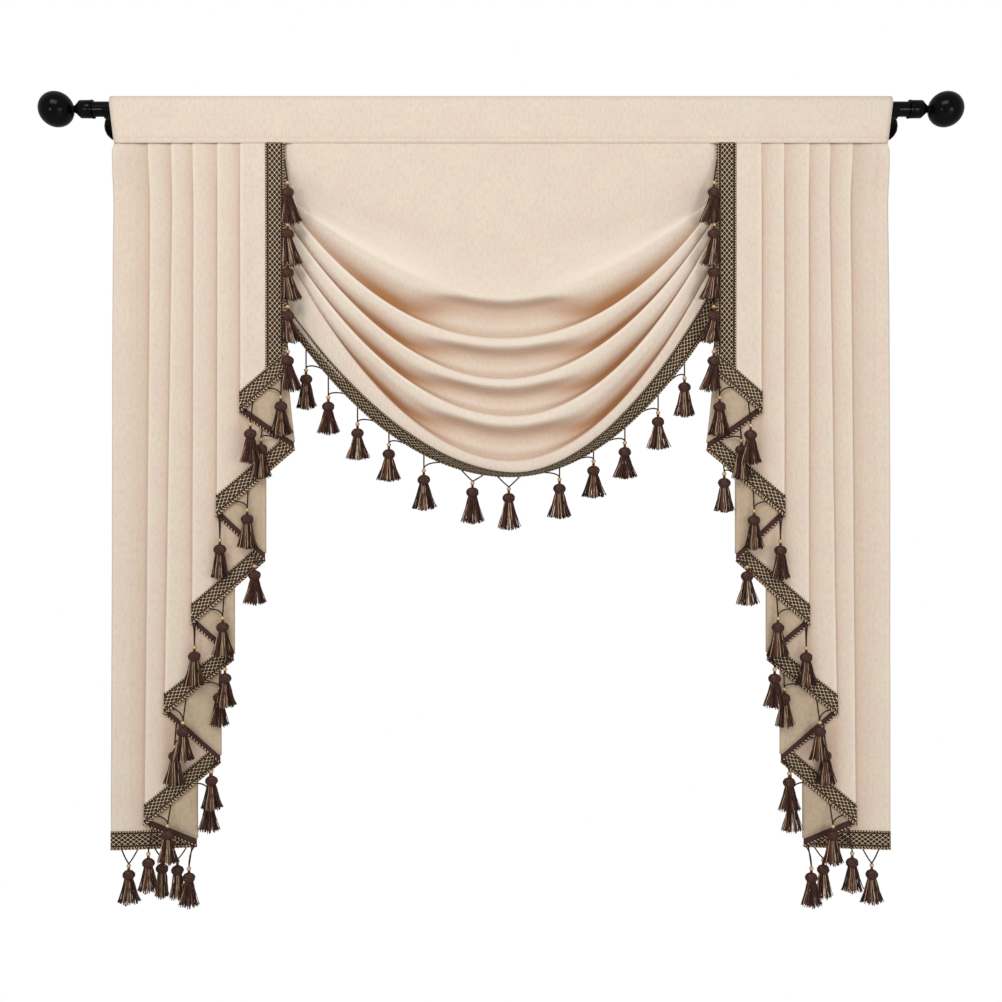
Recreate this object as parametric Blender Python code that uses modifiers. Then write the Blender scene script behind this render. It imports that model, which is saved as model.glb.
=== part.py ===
import math

import bmesh
import bpy
from mathutils import Vector

# Swag and tail drape on its rod. +X is to the right as seen, the front faces -Y, the wall is y = 0.
# The origin is on the wall, midway between the brackets, at the height of the rod's axis.
# Every size below is in millimetres.
MM = 0.001

ROD_RADIUS = 14.25
ROD_END = 790.3
ROD_STANDOFF = 95.0
BRACKET_X = 771.0
CRADLE_X = 762.0
PLATE_RADIUS = 33.0
ARM_RADIUS = 7.0
CRADLE_WIDTH = 13.0

CLOTH = 2.0
BRAID = 1.2
BRAID_WIDTH = 33.0
BRAID_SLANT = 39.0
BRAID_OFFSET = 2.1
BRAID_BEYOND_CLOTH = 13.0
CORD_GAP = 0.8
CORD_HEIGHT = 3.0
CORD_HALF = 1.2

HEADING_TOP_END = 753.0
HEADING_LOW_END = 745.0
HEADING_TOP = 21.4
HEADING_LOW = -68.0
CLOTH_TOP = -68.5

# Heading in section, y from the rod's axis: outer y and z, inner y and z, and the same two
# outer and inner y where only the swag hangs below. Its sewn lip stands above the rod.
HEADING_SECTION = [
    # outer y, outer z, inner y, inner z, outer y at swag, inner y at swag
    (-19.5, -68.0, -17.1, -65.6, -19.5, -17.1),
    (-19.5, -30.0, -17.1, -30.0, -19.5, -17.1),
    (-19.5, 8.0, -17.1, 7.0, -19.5, -17.1),
    (-12.0, 17.4, -10.5, 14.9, -12.0, -10.5),
    (-2.5, 21.4, -2.5, 14.9, -2.5, -2.5),
    (1.5, 21.4, 1.5, 14.9, 1.5, 1.5),
    (8.0, 17.4, 6.5, 15.0, 8.0, 6.5),
    (18.8, 8.0, 16.4, 6.5, 18.8, 16.4),
    (18.8, -12.0, 16.4, -11.0, 18.8, 16.4),
    (18.8, -42.0, 16.4, -41.0, 8.0, 5.6),
    (18.8, -68.0, 16.4, -65.6, -8.5, -10.9),
]
# Stations along the heading and how far each is narrowed to the swag's thin seam.
HEADING_STATIONS = [
    # share of the half width, narrowing
    (-1.0, 0.0),
    (-0.78, 0.0),
    (-0.595, 0.0),
    (-0.55, 0.5),
    (-0.505, 1.0),
    (-0.2, 1.0),
    (0.0, 1.0),
    (0.2, 1.0),
    (0.505, 1.0),
    (0.55, 0.5),
    (0.595, 0.0),
    (0.78, 0.0),
    (1.0, 0.0),
]

# A tail is one back-and-forth sheet. Each row is where it turns: distance from the middle at the
# top and at the hem, the height of the braid's lower edge there, and the power of the way down
# by which the turn moves outwards.
TAIL_FRONT = -109.0
TAIL_LEAN = 0.10
OUTER_GAP = 3.6
INNER_GAP = 6.2
SEAM_REACH = 240.0
LEFT_TURNS = [
    # x at top, x at hem, hem z, power
    (418.0, 418.0, -513.0, 1.0),
    (502.0, 501.5, -588.0, 1.0),
    (424.0, 398.0, -659.0, 3.0),
    (546.5, 548.0, -788.0, 1.0),
    (456.0, 456.0, -874.0, 1.0),
    (594.0, 597.0, -997.0, 1.0),
    (518.0, 518.0, -1067.0, 1.0),
    (635.0, 652.0, -1172.0, 1.0),
    (546.0, 546.0, -1269.0, 1.0),
    (682.5, 693.0, -1389.0, 1.0),
    (594.0, 594.0, -1434.0, 1.0),
    (752.5, 757.5, -1437.0, 1.0),
]
RIGHT_TURNS = [
    # x at top, x at hem, hem z, power
    (417.0, 417.0, -513.0, 1.0),
    (501.0, 501.0, -588.0, 1.0),
    (423.0, 397.0, -660.0, 3.0),
    (545.0, 547.0, -788.0, 1.0),
    (455.0, 455.0, -875.0, 1.0),
    (594.0, 596.0, -998.0, 1.0),
    (516.0, 516.0, -1067.0, 1.0),
    (634.0, 652.0, -1173.0, 1.0),
    (545.0, 545.0, -1268.0, 1.0),
    (679.0, 691.0, -1389.0, 1.0),
    (591.0, 591.0, -1434.0, 1.0),
    (750.0, 757.0, -1437.0, 1.0),
]

# Tassels of a tail's stepped edge: the layer each hangs from, its distance from the middle,
# the height of its bead, how far it stands before its layer, and its skirt's width.
LEFT_CASCADE = [
    # layer, x, bead z, forward, width
    (0, 423.0, -561.0, 8.0, 40.0),
    (0, 477.0, -615.0, 22.0, 36.0),
    (1, 461.0, -643.0, 8.0, 36.0),
    (2, 488.0, -778.0, 9.0, 34.0),
    (2, 540.0, -836.0, 8.0, 32.0),
    (3, 475.0, -886.0, 8.0, 40.0),
    (4, 536.0, -986.0, 11.0, 40.0),
    (4, 590.0, -1042.0, 8.0, 38.0),
    (5, 531.0, -1084.0, 17.0, 38.0),
    (6, 546.0, -1124.0, 6.4, 34.0),
    (6, 610.0, -1186.0, 22.0, 38.0),
    (7, 631.0, -1236.0, 8.0, 38.0),
    (7, 558.0, -1282.0, 22.0, 38.0),
    (8, 568.0, -1330.0, 8.0, 38.0),
    (8, 642.0, -1386.0, 22.0, 38.0),
]
LEFT_HEM = [
    # layer, x, bead z, forward, width
    (9, 680.0, -1441.0, 20.0, 38.0),
    (9, 604.0, -1472.0, 20.0, 36.0),
    (10, 631.0, -1463.0, 8.0, 30.0),
    (10, 660.0, -1459.0, 8.0, 24.0),
    (10, 723.0, -1469.0, 8.0, 40.0),
]
RIGHT_CASCADE = [
    # layer, x, bead z, forward, width
    (0, 420.0, -562.0, 8.0, 40.0),
    (0, 475.0, -617.0, 22.0, 36.0),
    (1, 462.0, -645.0, 8.0, 36.0),
    (2, 431.0, -708.0, 8.0, 36.0),
    (2, 487.0, -780.0, 9.0, 34.0),
    (2, 537.0, -838.0, 8.0, 32.0),
    (3, 475.0, -888.0, 8.0, 40.0),
    (4, 534.0, -987.0, 11.0, 40.0),
    (4, 588.0, -1044.0, 8.0, 38.0),
    (5, 527.0, -1085.0, 18.0, 40.0),
    (6, 550.0, -1126.0, 6.4, 34.0),
    (6, 612.0, -1186.0, 22.0, 38.0),
    (7, 628.0, -1236.0, 8.0, 38.0),
    (7, 556.0, -1286.0, 22.0, 38.0),
    (8, 566.0, -1331.0, 8.0, 38.0),
    (8, 640.0, -1388.0, 22.0, 38.0),
]
RIGHT_HEM = [
    # layer, x, bead z, forward, width
    (9, 678.0, -1441.0, 20.0, 38.0),
    (9, 601.0, -1472.0, 20.0, 36.0),
    (10, 629.0, -1462.0, 8.0, 32.0),
    (10, 721.0, -1469.0, 8.0, 42.0),
]
# Tassels down a leading edge: height of the bead and length from bead to skirt end.
EDGE_TASSELS = [
    # bead z, length
    (-141.0, 72.0),
    (-228.0, 60.0),
    (-303.0, 70.0),
    (-388.0, 71.0),
    (-474.0, 78.0),
]

# Lines across the swag, from the seam to the braid's lower edge. Each rises from its lowest
# point to the ends as a power of the distance, and stands before the wall by its two depths.
SWAG_HALF = 427.0
SWAG_END = 390.0
SWAG_LINES = [
    # middle x, middle z, left x, left z, right x, right z, power, middle y, end y, fold depth
    (8.0, -365.0, -367.0, -213.0, 388.0, -196.0, 1.75, -128.0, -83.0, 0.0),
    (0.0, -455.0, -385.0, -236.0, 388.0, -232.0, 1.75, -136.0, -83.0, 24.0),
    (8.0, -534.0, -390.0, -267.0, 388.0, -260.0, 1.75, -142.0, -84.0, 26.0),
    (23.0, -609.0, -385.0, -318.0, 388.0, -299.0, 2.1, -144.0, -85.0, 26.0),
    (27.0, -690.0, -390.0, -350.0, 388.0, -328.0, 1.95, -140.0, -85.0, 24.0),
    (27.0, -705.0, -391.0, -413.0, 388.0, -384.0, 1.85, -138.0, -85.0, 0.0),
    (17.0, -716.0, -394.0, -446.0, 400.0, -428.0, 2.05, -138.0, -85.0, 0.0),
]
# One fold in section from ridge to ridge: how far down, how far back, and how much further
# down where the fold flattens towards the ends.
FOLD_PROFILE = [
    # down, back, further down at the ends
    (0.0, 0.0, 0.0),
    (0.05, 0.5, 0.12),
    (0.14, 1.0, 0.22),
    (0.5, 0.66, 0.08),
    (0.82, 0.2, 0.0),
]
SWAG_TOP_ROWS = 4
SWAG_COLUMNS = 28
# Its edge cord is parted at these distances, so that each length follows the curve closely.
SWAG_FRINGE_ENDS = [-427.0, -248.0, -20.0, 209.5, 427.0]
SWAG_TASSELS = [
    # x, bead z, skirt end z, width
    (-384.0, -503.0, -582.0, 32.0),
    (-338.0, -558.0, -632.0, 36.0),
    (-279.0, -611.0, -682.0, 38.0),
    (-217.0, -652.0, -724.0, 38.0),
    (-149.0, -702.0, -780.0, 38.0),
    (-55.0, -726.0, -806.0, 36.0),
    (15.0, -737.0, -818.0, 36.0),
    (113.0, -719.0, -796.0, 38.0),
    (179.0, -684.0, -756.0, 38.0),
    (240.0, -648.0, -719.0, 38.0),
    (305.0, -589.0, -662.0, 38.0),
    (356.0, -522.0, -599.0, 34.0),
]

# The stepped edge's cord is parted in the bends after these layers.
CASCADE_ENDS = [
    # part of the backing, first s, last s, first layer, last layer
    ("top", 0.0, 5.45, 0, 2),
    ("middle", 5.55, 11.46, 3, 5),
    ("low", 11.54, 17.9, 6, 8),
]
PARTING = 0.4

BEAD_HALF = 4.5
HEAD_DROP = 19.0
HEAD_HALF_X = 10.0
HEAD_HALF_Y = 6.0
SKIRT_HALF_Y = 6.5
TASSEL_LENGTH = 76.0
LOCKS = 4

COLOURS = {
    "cream_cloth": ((0.80, 0.68, 0.56, 1.0), 0.85, 0.0),
    "woven_braid": ((0.09, 0.045, 0.03, 1.0), 0.7, 0.0),
    "tassel_yarn": ((0.10, 0.04, 0.03, 1.0), 0.75, 0.0),
    "satin_black": ((0.02, 0.02, 0.022, 1.0), 0.4, 0.6),
}


def clamp(value):
    return min(1.0, max(0.0, value))


def mix(a, b, share):
    return a + (b - a) * share


def material(name):
    colour, roughness, metallic = COLOURS[name]
    found = bpy.data.materials.get(name)
    if found:
        return found
    made = bpy.data.materials.new(name)
    made.use_nodes = True
    shader = made.node_tree.nodes["Principled BSDF"]
    shader.inputs["Base Color"].default_value = colour
    shader.inputs["Roughness"].default_value = roughness
    shader.inputs["Metallic"].default_value = metallic
    made.diffuse_color = colour
    return made


def finish(name, bm, finish_name, collection):
    bmesh.ops.recalc_face_normals(bm, faces=bm.faces[:])
    mesh = bpy.data.meshes.new(name)
    bm.to_mesh(mesh)
    bm.free()
    made = bpy.data.objects.new(name, mesh)
    made.data.materials.append(material(finish_name))
    collection.objects.link(made)
    return made


def thick_sheet(bm, cells, place, open_edges=(), open_cells=()):
    # A sheet from quads of keys: both skins, and a rim along every edge used once. Open edges
    # and the face of open cells are left for a cord to grow from.
    corners = {}
    for cell in cells:
        for key in cell:
            for skin in (0, 1):
                if (key, skin) not in corners:
                    corners[key, skin] = bm.verts.new(Vector(place(key, skin)) * MM)
    used = {}
    for cell in cells:
        for skin in (0, 1):
            if skin or cell not in open_cells:
                a, b, c, d = [corners[key, skin] for key in cell]
                bm.faces.new([a, b, c])
                bm.faces.new([a, c, d])
        for a, b in zip(cell, cell[1:] + cell[:1]):
            pair = tuple(sorted((a, b)))
            used[pair] = used.get(pair, 0) + 1
    for (a, b), count in used.items():
        if count == 1 and (a, b) not in open_edges:
            bm.faces.new([corners[a, 0], corners[a, 1], corners[b, 1], corners[b, 0]])
    return corners


def grid_cells(columns, rows):
    return [
        ((a, r), (b, r), (b, s), (a, s))
        for a, b in zip(columns, columns[1:])
        for r, s in zip(rows, rows[1:])
    ]


def bridge(bm, upper, lower):
    count = len(upper)
    for i in range(count):
        j = (i + 1) % count
        bm.faces.new([upper[i], upper[j], lower[j]])
        bm.faces.new([upper[i], lower[j], lower[i]])


def grow_tassel(bm, root, bead, width, length, lean=0.0):
    # From four corners of a cord: bead, wound head and a skirt of locks, all one skin.
    x, y, z = bead

    def square(height, half_x, half_y):
        return [
            bm.verts.new(Vector((x + sx * half_x, y + sy * half_y, height)) * MM)
            for sx, sy in ((-1, -1), (1, -1), (1, 1), (-1, 1))
        ]

    rings = [
        root,
        square(z + 5.0, CORD_HALF, CORD_HALF),
        square(z, BEAD_HALF, BEAD_HALF),
        square(z - 5.0, 2.0, 2.0),
        square(z - HEAD_DROP + 9.0, 8.5, 5.5),
    ]
    for upper, lower in zip(rings, rings[1:]):
        bridge(bm, upper, lower)
    top = rings[-1]

    def row(height, half_x, half_y, lock, shift):
        pitch = 2.0 * half_x / (LOCKS - 1.0 + lock)
        edges = []
        for k in range(LOCKS):
            left = -half_x + pitch * k
            edges += [left, left + pitch * lock]
        return [
            [bm.verts.new(Vector((x + shift + e, y + s * half_y, height)) * MM) for e in edges]
            for s in (-1, 1)
        ]

    front, back = row(z - HEAD_DROP - 8.0, HEAD_HALF_X, HEAD_HALF_Y, 0.84, lean * 0.25)
    middle = len(front) // 2
    for line, (a, b) in ((front, (top[0], top[1])), (back, (top[3], top[2]))):
        for i in range(middle - 1):
            bm.faces.new([a, line[i], line[i + 1]])
            bm.faces.new([b, line[middle + i], line[middle + i + 1]])
        bm.faces.new([a, line[middle - 1], line[middle], b])
    bm.faces.new([top[1], front[-1], back[-1], top[2]])
    bm.faces.new([top[3], back[0], front[0], top[0]])
    low_front, low_back = row(z - length, width / 2.0, SKIRT_HALF_Y, 0.76, lean)
    for k in range(LOCKS):
        i = 2 * k
        upper = [front[i], front[i + 1], back[i + 1], back[i]]
        lower = [low_front[i], low_front[i + 1], low_back[i + 1], low_back[i]]
        bridge(bm, upper, lower)
        bm.faces.new(lower)
        if k:
            bm.faces.new([front[i - 1], front[i], back[i], back[i - 1]])


def around(verts, axis, sign):
    # Four corners in the order of a tassel's rings: the given axis turns into front to back.
    middle = sum((v.co for v in verts), Vector()) / len(verts)
    return sorted(
        verts,
        key=lambda v: math.atan2(sign * (v.co[axis] - middle[axis]), v.co.x - middle.x),
    )


class Tail:
    def __init__(self, side, turns):
        self.side = side
        self.turns = turns
        self.layers = len(turns) - 1

    def turn_x(self, index, z):
        top, low, hem, power = self.turns[index]
        return mix(top, low, clamp((CLOTH_TOP - z) / (CLOTH_TOP - hem)) ** power)

    def depth(self, layer, z):
        near_seam = 1.0 - clamp((CLOTH_TOP - z) / SEAM_REACH)
        loosening = 1.0 + 0.12 * clamp((CLOTH_TOP - z) / 1360.0) - 0.26 * near_seam
        gaps = sum(OUTER_GAP if i % 2 == 0 else INNER_GAP for i in range(layer))
        return gaps * loosening

    def centre_x(self, index, z):
        # Centre of the bend between two layers, or the free edge at either end.
        x = self.turn_x(index, z)
        if index in (0, self.layers):
            return x
        radius = (self.depth(index, z) - self.depth(index - 1, z)) / 2.0
        return x - radius if index % 2 else x + radius

    def ends(self, layer, z):
        return self.centre_x(layer, z), self.centre_x(layer + 1, z)

    def place(self, s, z, offset):
        # s counts flats and bends in turn; offset is towards the face of the cloth.
        part = min(int(s), 2 * self.layers - 2)
        share = s - part
        layer = part // 2
        near = self.depth(layer, z)
        if part % 2 == 0:
            start, end = self.ends(layer, z)
            x = mix(start, end, share)
            y = near + (offset if layer % 2 else -offset)
        else:
            far = self.depth(layer + 1, z)
            centre = self.centre_x(layer + 1, z)
            angle = math.pi * (share - 0.5)
            outward = 1.0 if layer % 2 == 0 else -1.0
            radius = (far - near) / 2.0 + outward * offset
            x = centre + outward * radius * math.cos(angle)
            y = (near + far) / 2.0 + radius * math.sin(angle)
        y -= TAIL_LEAN * (x - self.turns[0][0])
        sway = clamp((CLOTH_TOP - z) / 200.0)
        y += 1.6 * sway * math.sin(z / 230.0 + x / 120.0 + self.side)
        return (self.side * x, TAIL_FRONT + y, z)

    def hem(self, s):
        part = min(int(s), 2 * self.layers - 2)
        share = s - part
        layer = part // 2
        step = 1.5
        if part % 2 == 0:
            upper = self.turns[layer][2] - (step if layer else 0.0)
            lower = self.turns[layer + 1][2] + (step if layer < self.layers - 1 else 0.0)
            return mix(upper, lower, share)
        return self.turns[layer + 1][2] + step * (1.0 - 2.0 * share)

    def station(self, layer, x, z):
        start, end = self.ends(layer, z)
        return 2 * layer + (x - start) / (end - start)

    def stations(self, first, last):
        marks = []
        for part in range(2 * self.layers - 1):
            marks.append(float(part))
            if part % 2 == 0:
                marks.append(part + 0.5)
            if part % 4 == 1:
                marks += [part + 1.0 / 3.0, part + 2.0 / 3.0]
            if part % 4 == 3:
                marks.append(part + 0.5)
        marks.append(2.0 * self.layers - 1.0)
        return [first] + [m for m in marks if first + 0.02 < m < last - 0.02] + [last]

    def braid_height(self, s):
        return BRAID_SLANT if s < 19.5 else BRAID_WIDTH


def build_tail(name, tail, collection):
    rows = 6
    first = BRAID_BEYOND_CLOTH / 85.0

    def place(key, skin):
        s, r = key
        low = tail.hem(s) + BRAID_BEYOND_CLOTH
        z = mix(CLOTH_TOP, low, r / rows)
        return tail.place(s, z, CLOTH / 2.0 if skin == 0 else -CLOTH / 2.0)

    bm = bmesh.new()
    columns = tail.stations(first, 2.0 * tail.layers - 1.0)
    thick_sheet(bm, grid_cells(columns, list(range(rows + 1))), place)
    finish(name, bm, "cream_cloth", collection)


def build_tail_braid(name, tail, collection):
    rows = 4
    inner = tail.station(0, tail.turns[0][0] + BRAID_WIDTH + 3.0, -300.0)

    def place(key, skin):
        s, r = key
        low = tail.hem(s)
        high = low + tail.braid_height(s)
        z = low if r == rows else mix(CLOTH_TOP, high, r / (rows - 1.0))
        return tail.place(s, z, BRAID_OFFSET + (0.5 - skin) * BRAID)

    columns = [0.0] + tail.stations(inner, 2.0 * tail.layers - 1.0)
    cells = grid_cells(columns[:2], list(range(rows + 1)))
    cells += grid_cells(columns[1:], [rows - 1, rows])
    bm = bmesh.new()
    thick_sheet(bm, cells, place)
    finish(name, bm, "woven_braid", collection)


def build_hem_fringe(name, tail, tassels, first, last, collection):
    def place(key, skin):
        s, r = key
        z = tail.hem(s) - CORD_GAP - CORD_HEIGHT * r
        return tail.place(s, z, BRAID_OFFSET + (0.5 - skin) * BRAID)

    columns = tail.stations(first, last)
    roots = []
    for layer, x, bead_z, forward, width in tassels:
        rough = tail.station(layer, x, bead_z + 40.0)
        z = tail.hem(rough)
        low = tail.station(layer, x - CORD_HALF, z)
        high = tail.station(layer, x + CORD_HALF, z)
        columns += [low, high]
        roots.append((tuple(sorted(((low, 1), (high, 1)))), layer, x, bead_z, forward, width))
    columns.sort()
    bm = bmesh.new()
    open_edges = [root[0] for root in roots]
    corners = thick_sheet(bm, grid_cells(columns, [0, 1]), place, open_edges)
    for edge, layer, x, bead_z, forward, width in roots:
        ring = [corners[key, skin] for key in edge for skin in (0, 1)]
        s = (edge[0][0] + edge[1][0]) / 2.0
        y = tail.place(s, tail.hem(s), 0.0)[1] - forward
        bead = (tail.side * x, y, bead_z)
        grow_tassel(bm, around(ring, 1, 1.0), bead, width, TASSEL_LENGTH)
    finish(name, bm, "tassel_yarn", collection)


def build_edge_fringe(name, tail, collection):
    lead = tail.turns[0][0]

    def place(key, skin):
        z, r = key
        x, y, z = tail.place(0.0, z, BRAID_OFFSET + (0.5 - skin) * BRAID)
        return (x - tail.side * (CORD_GAP + CORD_HEIGHT * r), y, z)

    heights = [CLOTH_TOP - 2.0, tail.turns[0][2] + 1.0]
    for bead_z, length in EDGE_TASSELS:
        heights += [bead_z + 9.0, bead_z + 9.0 + 2.0 * CORD_HALF]
    heights.sort(reverse=True)
    cells = grid_cells(heights, [0, 1])
    roots = [
        next(cell for cell in cells if cell[1][0] == bead_z + 9.0) for bead_z, length in EDGE_TASSELS
    ]
    bm = bmesh.new()
    corners = thick_sheet(bm, cells, place, open_cells=roots)
    for root, (bead_z, length) in zip(roots, EDGE_TASSELS):
        ring = [corners[key, 0] for key in root]
        y = tail.place(0.0, bead_z, 0.0)[1] - 12.5
        bead = (tail.side * (lead - 9.0), y, bead_z)
        grow_tassel(bm, around(ring, 2, -1.0), bead, 36.0, length, lean=-tail.side * 9.0)
    finish(name, bm, "tassel_yarn", collection)


def swag_line(index, x):
    mid_x, mid_z, left_x, left_z, right_x, right_z, power, mid_y, end_y, fold = SWAG_LINES[index]
    end_x, end_z = (left_x, left_z) if x < mid_x else (right_x, right_z)
    share = abs(x - mid_x) / abs(end_x - mid_x)
    z = mix(mid_z, end_z, share**power)
    y = mix(mid_y, end_y, min(1.0, abs(x) / SWAG_END) ** 2.2)
    return y, z


def swag_seam(x):
    back = clamp((abs(x) - 352.0) / 40.0)
    return mix(TAIL_FRONT - 0.5, -92.0, back * back * (3.0 - 2.0 * back))


def braid_low(x):
    # Lower edge of the braid: it rolls under where the photograph shows it narrow.
    high_y, high_z = swag_line(5, x)
    low_y, low_z = swag_line(6, x)
    slope = (swag_line(6, x + 1.0)[1] - low_z) / 1.0
    seen = (high_z - low_z) / math.sqrt(1.0 + slope * slope)
    return high_y + math.sqrt(max(0.0, BRAID_WIDTH**2 - seen**2)), low_z


def swag_column(x):
    # Every row of one column, from the seam to the braid's lower edge.
    points = []
    seam_y = swag_seam(x)
    ridge_y, ridge_z = swag_line(0, x)
    for r in range(SWAG_TOP_ROWS):
        t = r / SWAG_TOP_ROWS
        points.append((mix(seam_y, ridge_y, t * t), mix(CLOTH_TOP, ridge_z, t)))
    reach = 1.0 - 0.72 * min(1.0, abs(x) / SWAG_END) ** 1.6
    for k in range(4):
        y0, z0 = swag_line(k, x)
        y1, z1 = swag_line(k + 1, x)
        depth = SWAG_LINES[k + 1][9] * reach
        for middle_down, back, further in FOLD_PROFILE:
            down = middle_down + further * (1.0 - reach)
            points.append((mix(y0, y1, down) + depth * back, mix(z0, z1, down)))
    points.append(swag_line(4, x))
    high = swag_line(5, x)
    low = braid_low(x)
    points.append(high)
    share = 1.0 - BRAID_BEYOND_CLOTH / BRAID_WIDTH
    points.append((mix(high[0], low[0], share), mix(high[1], low[1], share)))
    points.append(low)
    return points


def swag_grid():
    grid = {}
    for c in range(SWAG_COLUMNS + 1):
        x = SWAG_HALF * (2.0 * c / SWAG_COLUMNS - 1.0)
        for r, (y, z) in enumerate(swag_column(x)):
            grid[c, r] = Vector((x, y, z))
    return grid


def sheet_normals(grid):
    normals = {}
    for c, r in grid:
        across = grid.get((c + 1, r), grid[c, r]) - grid.get((c - 1, r), grid[c, r])
        down = grid.get((c, r + 1), grid[c, r]) - grid.get((c, r - 1), grid[c, r])
        normals[c, r] = down.cross(across).normalized()
    return normals


def swag_cells(rows):
    # Each half has its diagonals along the way its folds hang.
    middle = SWAG_COLUMNS // 2
    left = grid_cells(list(range(middle + 1)), rows)
    right = grid_cells(list(range(middle, SWAG_COLUMNS + 1)), rows)
    return left + [cell[1:] + cell[:1] for cell in right]


def build_swag(collection):
    grid = swag_grid()
    normals = sheet_normals(grid)
    last = max(r for c, r in grid)

    def cloth(key, skin):
        return grid[key] + normals[key] * CLOTH * (0.5 - skin)

    def braid(key, skin):
        return grid[key] + normals[key] * (BRAID_OFFSET + BRAID * (0.5 - skin))

    bm = bmesh.new()
    thick_sheet(bm, swag_cells(list(range(last))), cloth)
    finish("swag", bm, "cream_cloth", collection)
    bm = bmesh.new()
    thick_sheet(bm, swag_cells([last - 2, last - 1, last]), braid)
    finish("swag_braid", bm, "woven_braid", collection)


def build_swag_fringe(name, first, last, collection):
    tassels = [row for row in SWAG_TASSELS if first < row[0] < last]
    marks = [SWAG_HALF * (2.0 * c / SWAG_COLUMNS - 1.0) for c in range(SWAG_COLUMNS + 1)]
    roots = [(x - CORD_HALF, x + CORD_HALF) for x, z, end, width in tassels]
    marks = [m for m in marks if all(abs(m - (a + b) / 2.0) > 5.0 for a, b in roots)]
    marks = [m for m in marks if first + 3.0 < m < last - 3.0] + [first + PARTING, last - PARTING]
    marks = sorted(marks + [x for pair in roots for x in pair])

    def place(key, skin):
        x, r = key
        y, z = braid_low(x)
        return (x, y - 1.0 + BRAID * (skin - 0.5), z - 3.6 - CORD_HEIGHT * r)

    edges = [((a, 1), (b, 1)) for a, b in roots]
    bm = bmesh.new()
    corners = thick_sheet(bm, grid_cells(marks, [0, 1]), place, edges)
    for edge, (x, bead_z, end_z, width) in zip(edges, tassels):
        ring = [corners[key, skin] for key in edge for skin in (0, 1)]
        bead = (x, braid_low(x)[0] - 1.0, bead_z)
        grow_tassel(bm, around(ring, 1, 1.0), bead, width, bead_z - end_z)
    finish(name, bm, "tassel_yarn", collection)


def build_heading(collection):
    bm = bmesh.new()
    stations = []
    for share, narrowing in HEADING_STATIONS:
        outer = []
        inner = []
        for oy, oz, iy, iz, swag_oy, swag_iy in HEADING_SECTION:
            for ring, y, z in (
                (outer, mix(oy, swag_oy, narrowing), oz),
                (inner, mix(iy, swag_iy, narrowing), iz),
            ):
                drop = clamp((HEADING_TOP - z) / (HEADING_TOP - HEADING_LOW))
                half = mix(HEADING_TOP_END, HEADING_LOW_END, drop)
                ring.append(bm.verts.new(Vector((share * half, y - ROD_STANDOFF, z)) * MM))
        stations.append((outer, inner))
    for (outer_a, inner_a), (outer_b, inner_b) in zip(stations, stations[1:]):
        bridge(bm, outer_a, outer_b)
        bridge(bm, inner_a, inner_b)
    for outer, inner in (stations[0], stations[-1]):
        bridge(bm, outer, inner)
    finish("heading", bm, "cream_cloth", collection)


def turned(name, profile, axis, origin, steps, finish_name, collection):
    # A piece turned round one axis from rows of distance along it and radius.
    bm = bmesh.new()
    verts = []
    for along, radius in profile:
        point = (along, 0.0, radius) if axis == "X" else (0.0, along, radius)
        verts.append(bm.verts.new(Vector(point) * MM))
    for a, b in zip(verts, verts[1:]):
        bm.edges.new((a, b))
    mesh = bpy.data.meshes.new(name)
    bm.to_mesh(mesh)
    bm.free()
    made = bpy.data.objects.new(name, mesh)
    made.location = Vector(origin) * MM
    made.data.materials.append(material(finish_name))
    collection.objects.link(made)
    spin = made.modifiers.new("turn", "SCREW")
    spin.axis = axis
    spin.steps = steps
    spin.render_steps = steps
    spin.use_merge_vertices = True
    spin.merge_threshold = 0.00001
    spin.use_normal_flip = (profile[-1][0] > profile[0][0]) == (axis == "X")
    return made


def build_rod(collection):
    profile = [(-ROD_END, 0.0), (-ROD_END, ROD_RADIUS), (ROD_END, ROD_RADIUS), (ROD_END, 0.0)]
    axis = (0.0, -ROD_STANDOFF, 0.0)
    turned("rod", profile, "X", axis, 24, "satin_black", collection)


def build_finial(name, side, collection):
    # Ring, end cap, waist and ball, by distance beyond the rod's end.
    ball = 33.6
    centre = 73.0
    profile = [(0.3, 0.0), (0.3, 17.7), (3.8, 17.7), (4.4, 16.8), (25.5, 16.8), (35.7, 7.0), (40.0, 7.0)]
    start = math.asin(8.0 / ball)
    for i in range(9):
        angle = mix(start, math.pi, i / 8.0)
        radius = ball * math.sin(angle) if i < 8 else 0.0
        profile.append((centre - ball * math.cos(angle), radius))
    profile = [(side * (ROD_END + along), radius) for along, radius in profile]
    axis = (0.0, -ROD_STANDOFF, 0.0)
    turned(name, profile, "X", axis, 16, "satin_black", collection)


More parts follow.
